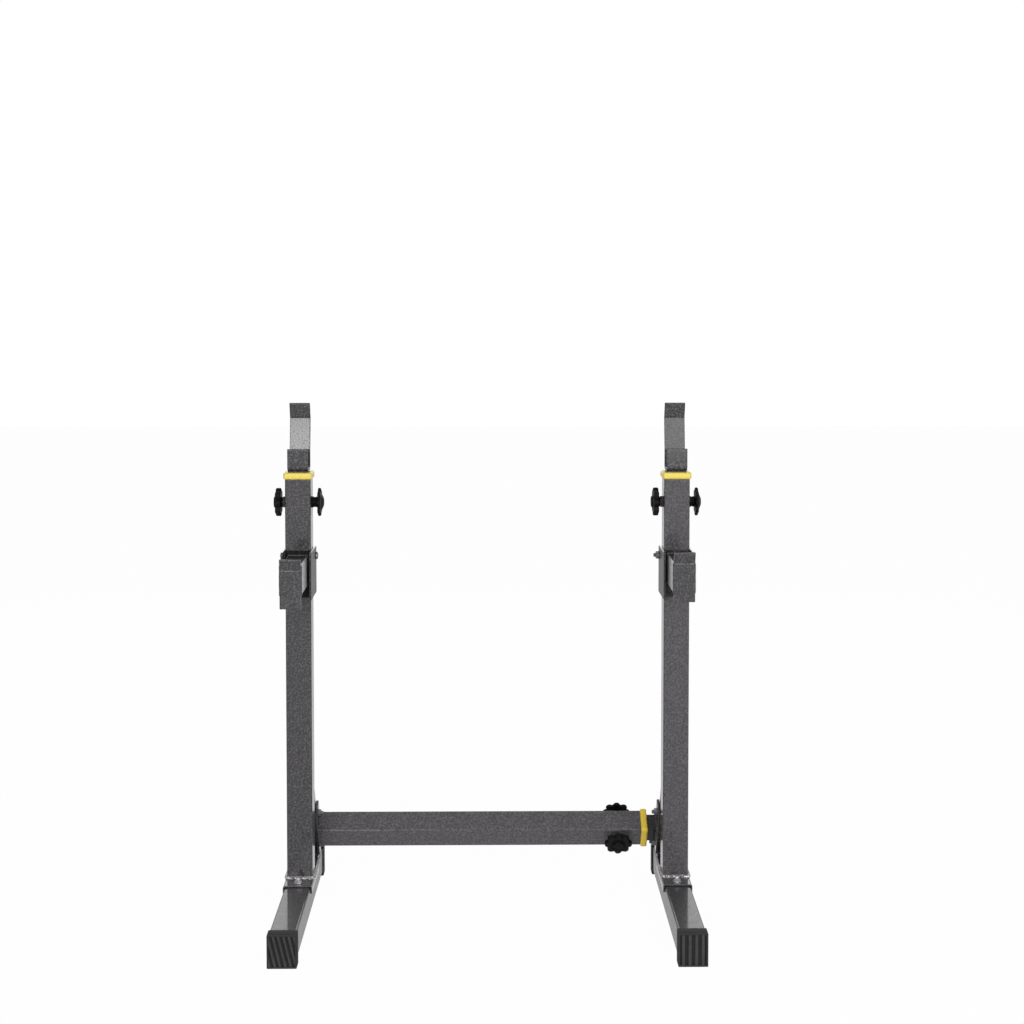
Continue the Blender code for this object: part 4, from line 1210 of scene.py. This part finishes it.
def catch(side):
    """Bar catch: bracket round the upright, arm, front plate, and the bolt that clamps them."""
    bolt_y = TUBE / 2 + GAP + BOLT_RADIUS
    catch_bracket(side, bolt_y)
    catch_arm(side)
    catch_plate(side)
    centre = (SIDE_X[side] + CHEEK_OUTER, UPRIGHT_Y + bolt_y, CATCH_TOP - CATCH_BOLT_INSET)
    bolt(side + "_catch_bolt", side + "_frame", 2 * CHEEK_OUTER, spot(centre, -BACK, UP))


def hook(side):
    """Bar hook bent from flat bar, and its weld round the post's top."""
    seat = POST_TOP + GAP + HOOK_SHEET / 2
    reach = (HOOK_OPENING + HOOK_SHEET) / 2
    lip_y = HOOK_SEAT_FORWARD - reach
    back_y = HOOK_SEAT_FORWARD + reach
    lean_low = seat + HOOK_SHEET / 2 + HOOK_BACK
    lean_high = lean_low + HOOK_LEAN_RISE
    path = [
        (lip_y, seat + HOOK_SHEET / 2 + HOOK_LIP),
        (lip_y, seat),
        (back_y, seat),
        (back_y, lean_low),
        (back_y + HOOK_LEAN, lean_high),
        (back_y + HOOK_LEAN - HOOK_FLARE, lean_high + HOOK_FLARE_RISE),
    ]
    half = HOOK_WIDTH / 2
    shell = extruded(strip_outline(path, HOOK_SHEET, BEND), -half, half, 0.001)
    at = on_half(side, 0.0, 0.0, BACK, UP)
    piece(side + "_hook_bend", side + "_post", HOOK_PAINT, [shell], at, [side + "_hook"])
    weld = bead_round(square(POST, POST_RADIUS), POST_TOP - 0.0002, HOOK_WELD)
    piece(side + "_hook_weld", side + "_post", DARK_PAINT, [weld], on_half(side))


def stand(side):
    """One half of the squat stand."""
    foot(side)
    saddle(side)
    brace(side)
    catch(side)
    hook(side)
    telescope(
        side,
        on_half(side, 0.0, UPRIGHT_TOP),
        (side + "_frame", side + "_post"),
        (side + "_upright", side + "_post"),
        # Each half's upright takes its own copy of the paint; the right one is lighter, as
        # painted light.
        (TUBE_PAINT[side], HAMMERED, YELLOW),
        UPRIGHT_TOP - SADDLE_TOP - GAP,
        POST_SHOWS,
        POST_TOP - POST_BOTTOM,
        POST_HOLES,
        POST_HOLE_PITCH,
    )


def end_plate(side):
    """Plate on an end of the crossbar, bolted to the brace, and the weld round the tube."""
    body = side + "_frame"
    origin = CROSSBAR_CENTRE - RIGHT * INWARDS[side] * END_PLATE_X
    at = spot(origin, OFF_BRACE, UP_BRACE)
    length = END_PLATE_UP + END_PLATE_DOWN
    outline = rounded_outline(END_PLATE_WIDTH, length, END_PLATE_CORNER)
    outline = lifted(outline, (END_PLATE_UP - END_PLATE_DOWN) / 2)
    thickness = -INWARDS[side] * END_PLATE
    shell = extruded(outline, min(0.0, thickness), max(0.0, thickness))
    name = f"crossbar_{side}_plate"
    piece(name + "_flat", body, HAMMERED, [shell], at, [name])
    ring = square(*{"left": (TUBE, TUBE_RADIUS), "right": (POST, POST_RADIUS)}[side])
    weld = bead_round(ring, INWARDS[side] * 0.0008, BRACE_WELD)
    piece(name + "_weld", body, HAMMERED, [weld], at)
    grip = END_PLATE + GAP + BRACE
    for label, up in zip(("upper", "lower"), END_PLATE_BOLTS):
        face = CROSSBAR_CENTRE + UP_BRACE * up
        face[0] = SIDE_X[side] - INWARDS[side] * BRACE / 2
        bolt(f"crossbar_{side}_bolt_{label}", body, grip, spot(face, BACK * INWARDS[side], UP))


def crossbar():
    """The telescoping tube between the halves, and the plates at its ends."""
    open_end = END_PLATE_X - CROSSBAR_SHOWS - COLLAR_FLANGE - GAP
    telescope(
        "crossbar",
        spot(CROSSBAR_CENTRE + RIGHT * open_end, OFF_BRACE, UP_BRACE),
        ("left_frame", "right_frame"),
        ("crossbar_outer", "crossbar_inner"),
        # Lighter paint and yellow as painted light on the crossbar and its collar; darker paint
        # as painted shade on the inner tube.
        (LIGHTENED_BAR_PAINT, DARK_PAINT, LIGHTENED_YELLOW),
        open_end + END_PLATE_X - GAP,
        CROSSBAR_SHOWS - GAP,
        CROSSBAR_INNER_LENGTH,
        CROSSBAR_HOLES,
        CROSSBAR_HOLE_PITCH,
    )
    end_plate("left")
    end_plate("right")


def shows_plain(nodes):
    """1 for the rays that show the plain white surroundings: seen, mirrored or through."""
    rays = ("Is Camera Ray", "Is Glossy Ray", "Is Transmission Ray")
    seen, mirrored, through = [nodes.node("ShaderNodeLightPath", output=ray) for ray in rays]
    return seen.larger(mirrored).larger(through)


def white_floor():
    """Wide pale floor: white to the camera and to reflections, with the stand's soft shadow."""
    corners = np.array([[-1, -1], [1, -1], [1, 1], [-1, 1]]) * FLOOR_REACH
    points = np.column_stack([corners, np.full(4, -FLOOR_DROP)])
    mesh = bpy.data.meshes.new("floor")
    mesh.from_pydata(points.tolist(), [], [[0, 1, 2, 3]])
    material = bpy.data.materials.new("floor_white")
    nodes = Nodes(material)
    matt = nodes.node("ShaderNodeBsdfDiffuse", None, {"Color": (0.86, 0.86, 0.86, 1.0)})
    plain = nodes.node("ShaderNodeEmission", None, {"Color": WHITE})
    share = shows_plain(nodes) * FLOOR_WHITE_SHARE
    mixed = nodes.node("ShaderNodeMixShader", None, {0: share, 1: matt, 2: plain})
    nodes.finish_with(mixed, "Principled BSDF", "Material Output")
    mesh.materials.append(material)
    linked("floor", mesh)


def white_world():
    """Even white surroundings, dimmer as a light than as a background."""
    world = bpy.data.worlds.new("studio")
    bpy.context.scene.world = world
    nodes = Nodes(world)
    lit = nodes.node("ShaderNodeBackground", None, {"Color": WHITE, "Strength": SKY_LIGHT})
    seen = nodes.node("ShaderNodeBackground", None, {"Color": WHITE, "Strength": 1.0})
    share = shows_plain(nodes)
    mixed = nodes.node("ShaderNodeMixShader", None, {0: share, 1: lit, 2: seen})
    nodes.finish_with(mixed, "Background", "World Output")


def soft_lamp(name, place, target_height, size, power):
    """Rectangular lamp that faces a point on the stand's middle line."""
    lamp = bpy.data.lights.new(name, "AREA")
    lamp.shape = "RECTANGLE"
    lamp.size, lamp.size_y = size
    lamp.energy = power
    made = linked(name, lamp)
    made.location = place
    way = Vector((0.0, 0.0, target_height)) - Vector(place)
    made.rotation_euler = way.to_track_quat("-Z", "Y").to_euler()


def camera():
    """The photograph's view from the front, as solved from its converging edges."""
    seen = bpy.data.cameras.new("camera")
    seen.lens = CAMERA_LENS
    seen.sensor_width = 36.0
    seen.shift_y = CAMERA_SHIFT
    seen.clip_start = 0.05
    made = linked("camera", seen)
    made.location = CAMERA_PLACE
    made.rotation_euler = (CAMERA_PITCH, 0.0, CAMERA_TURN)
    bpy.context.scene.camera = made


camera()
white_world()
white_floor()
soft_lamp("key", place=(-1.05, -3.6, 1.55), target_height=0.5, size=(1.6, 0.9), power=58.0)
soft_lamp("fill", place=(2.0, -3.7, 1.75), target_height=0.5, size=(3.4, 2.6), power=96.0)
soft_lamp("back", place=(0.0, 3.6, 1.45), target_height=0.1, size=(3.0, 0.9), power=17.0)

stand("left")
stand("right")
crossbar()

bpy.context.scene.view_settings.view_transform = "Standard"
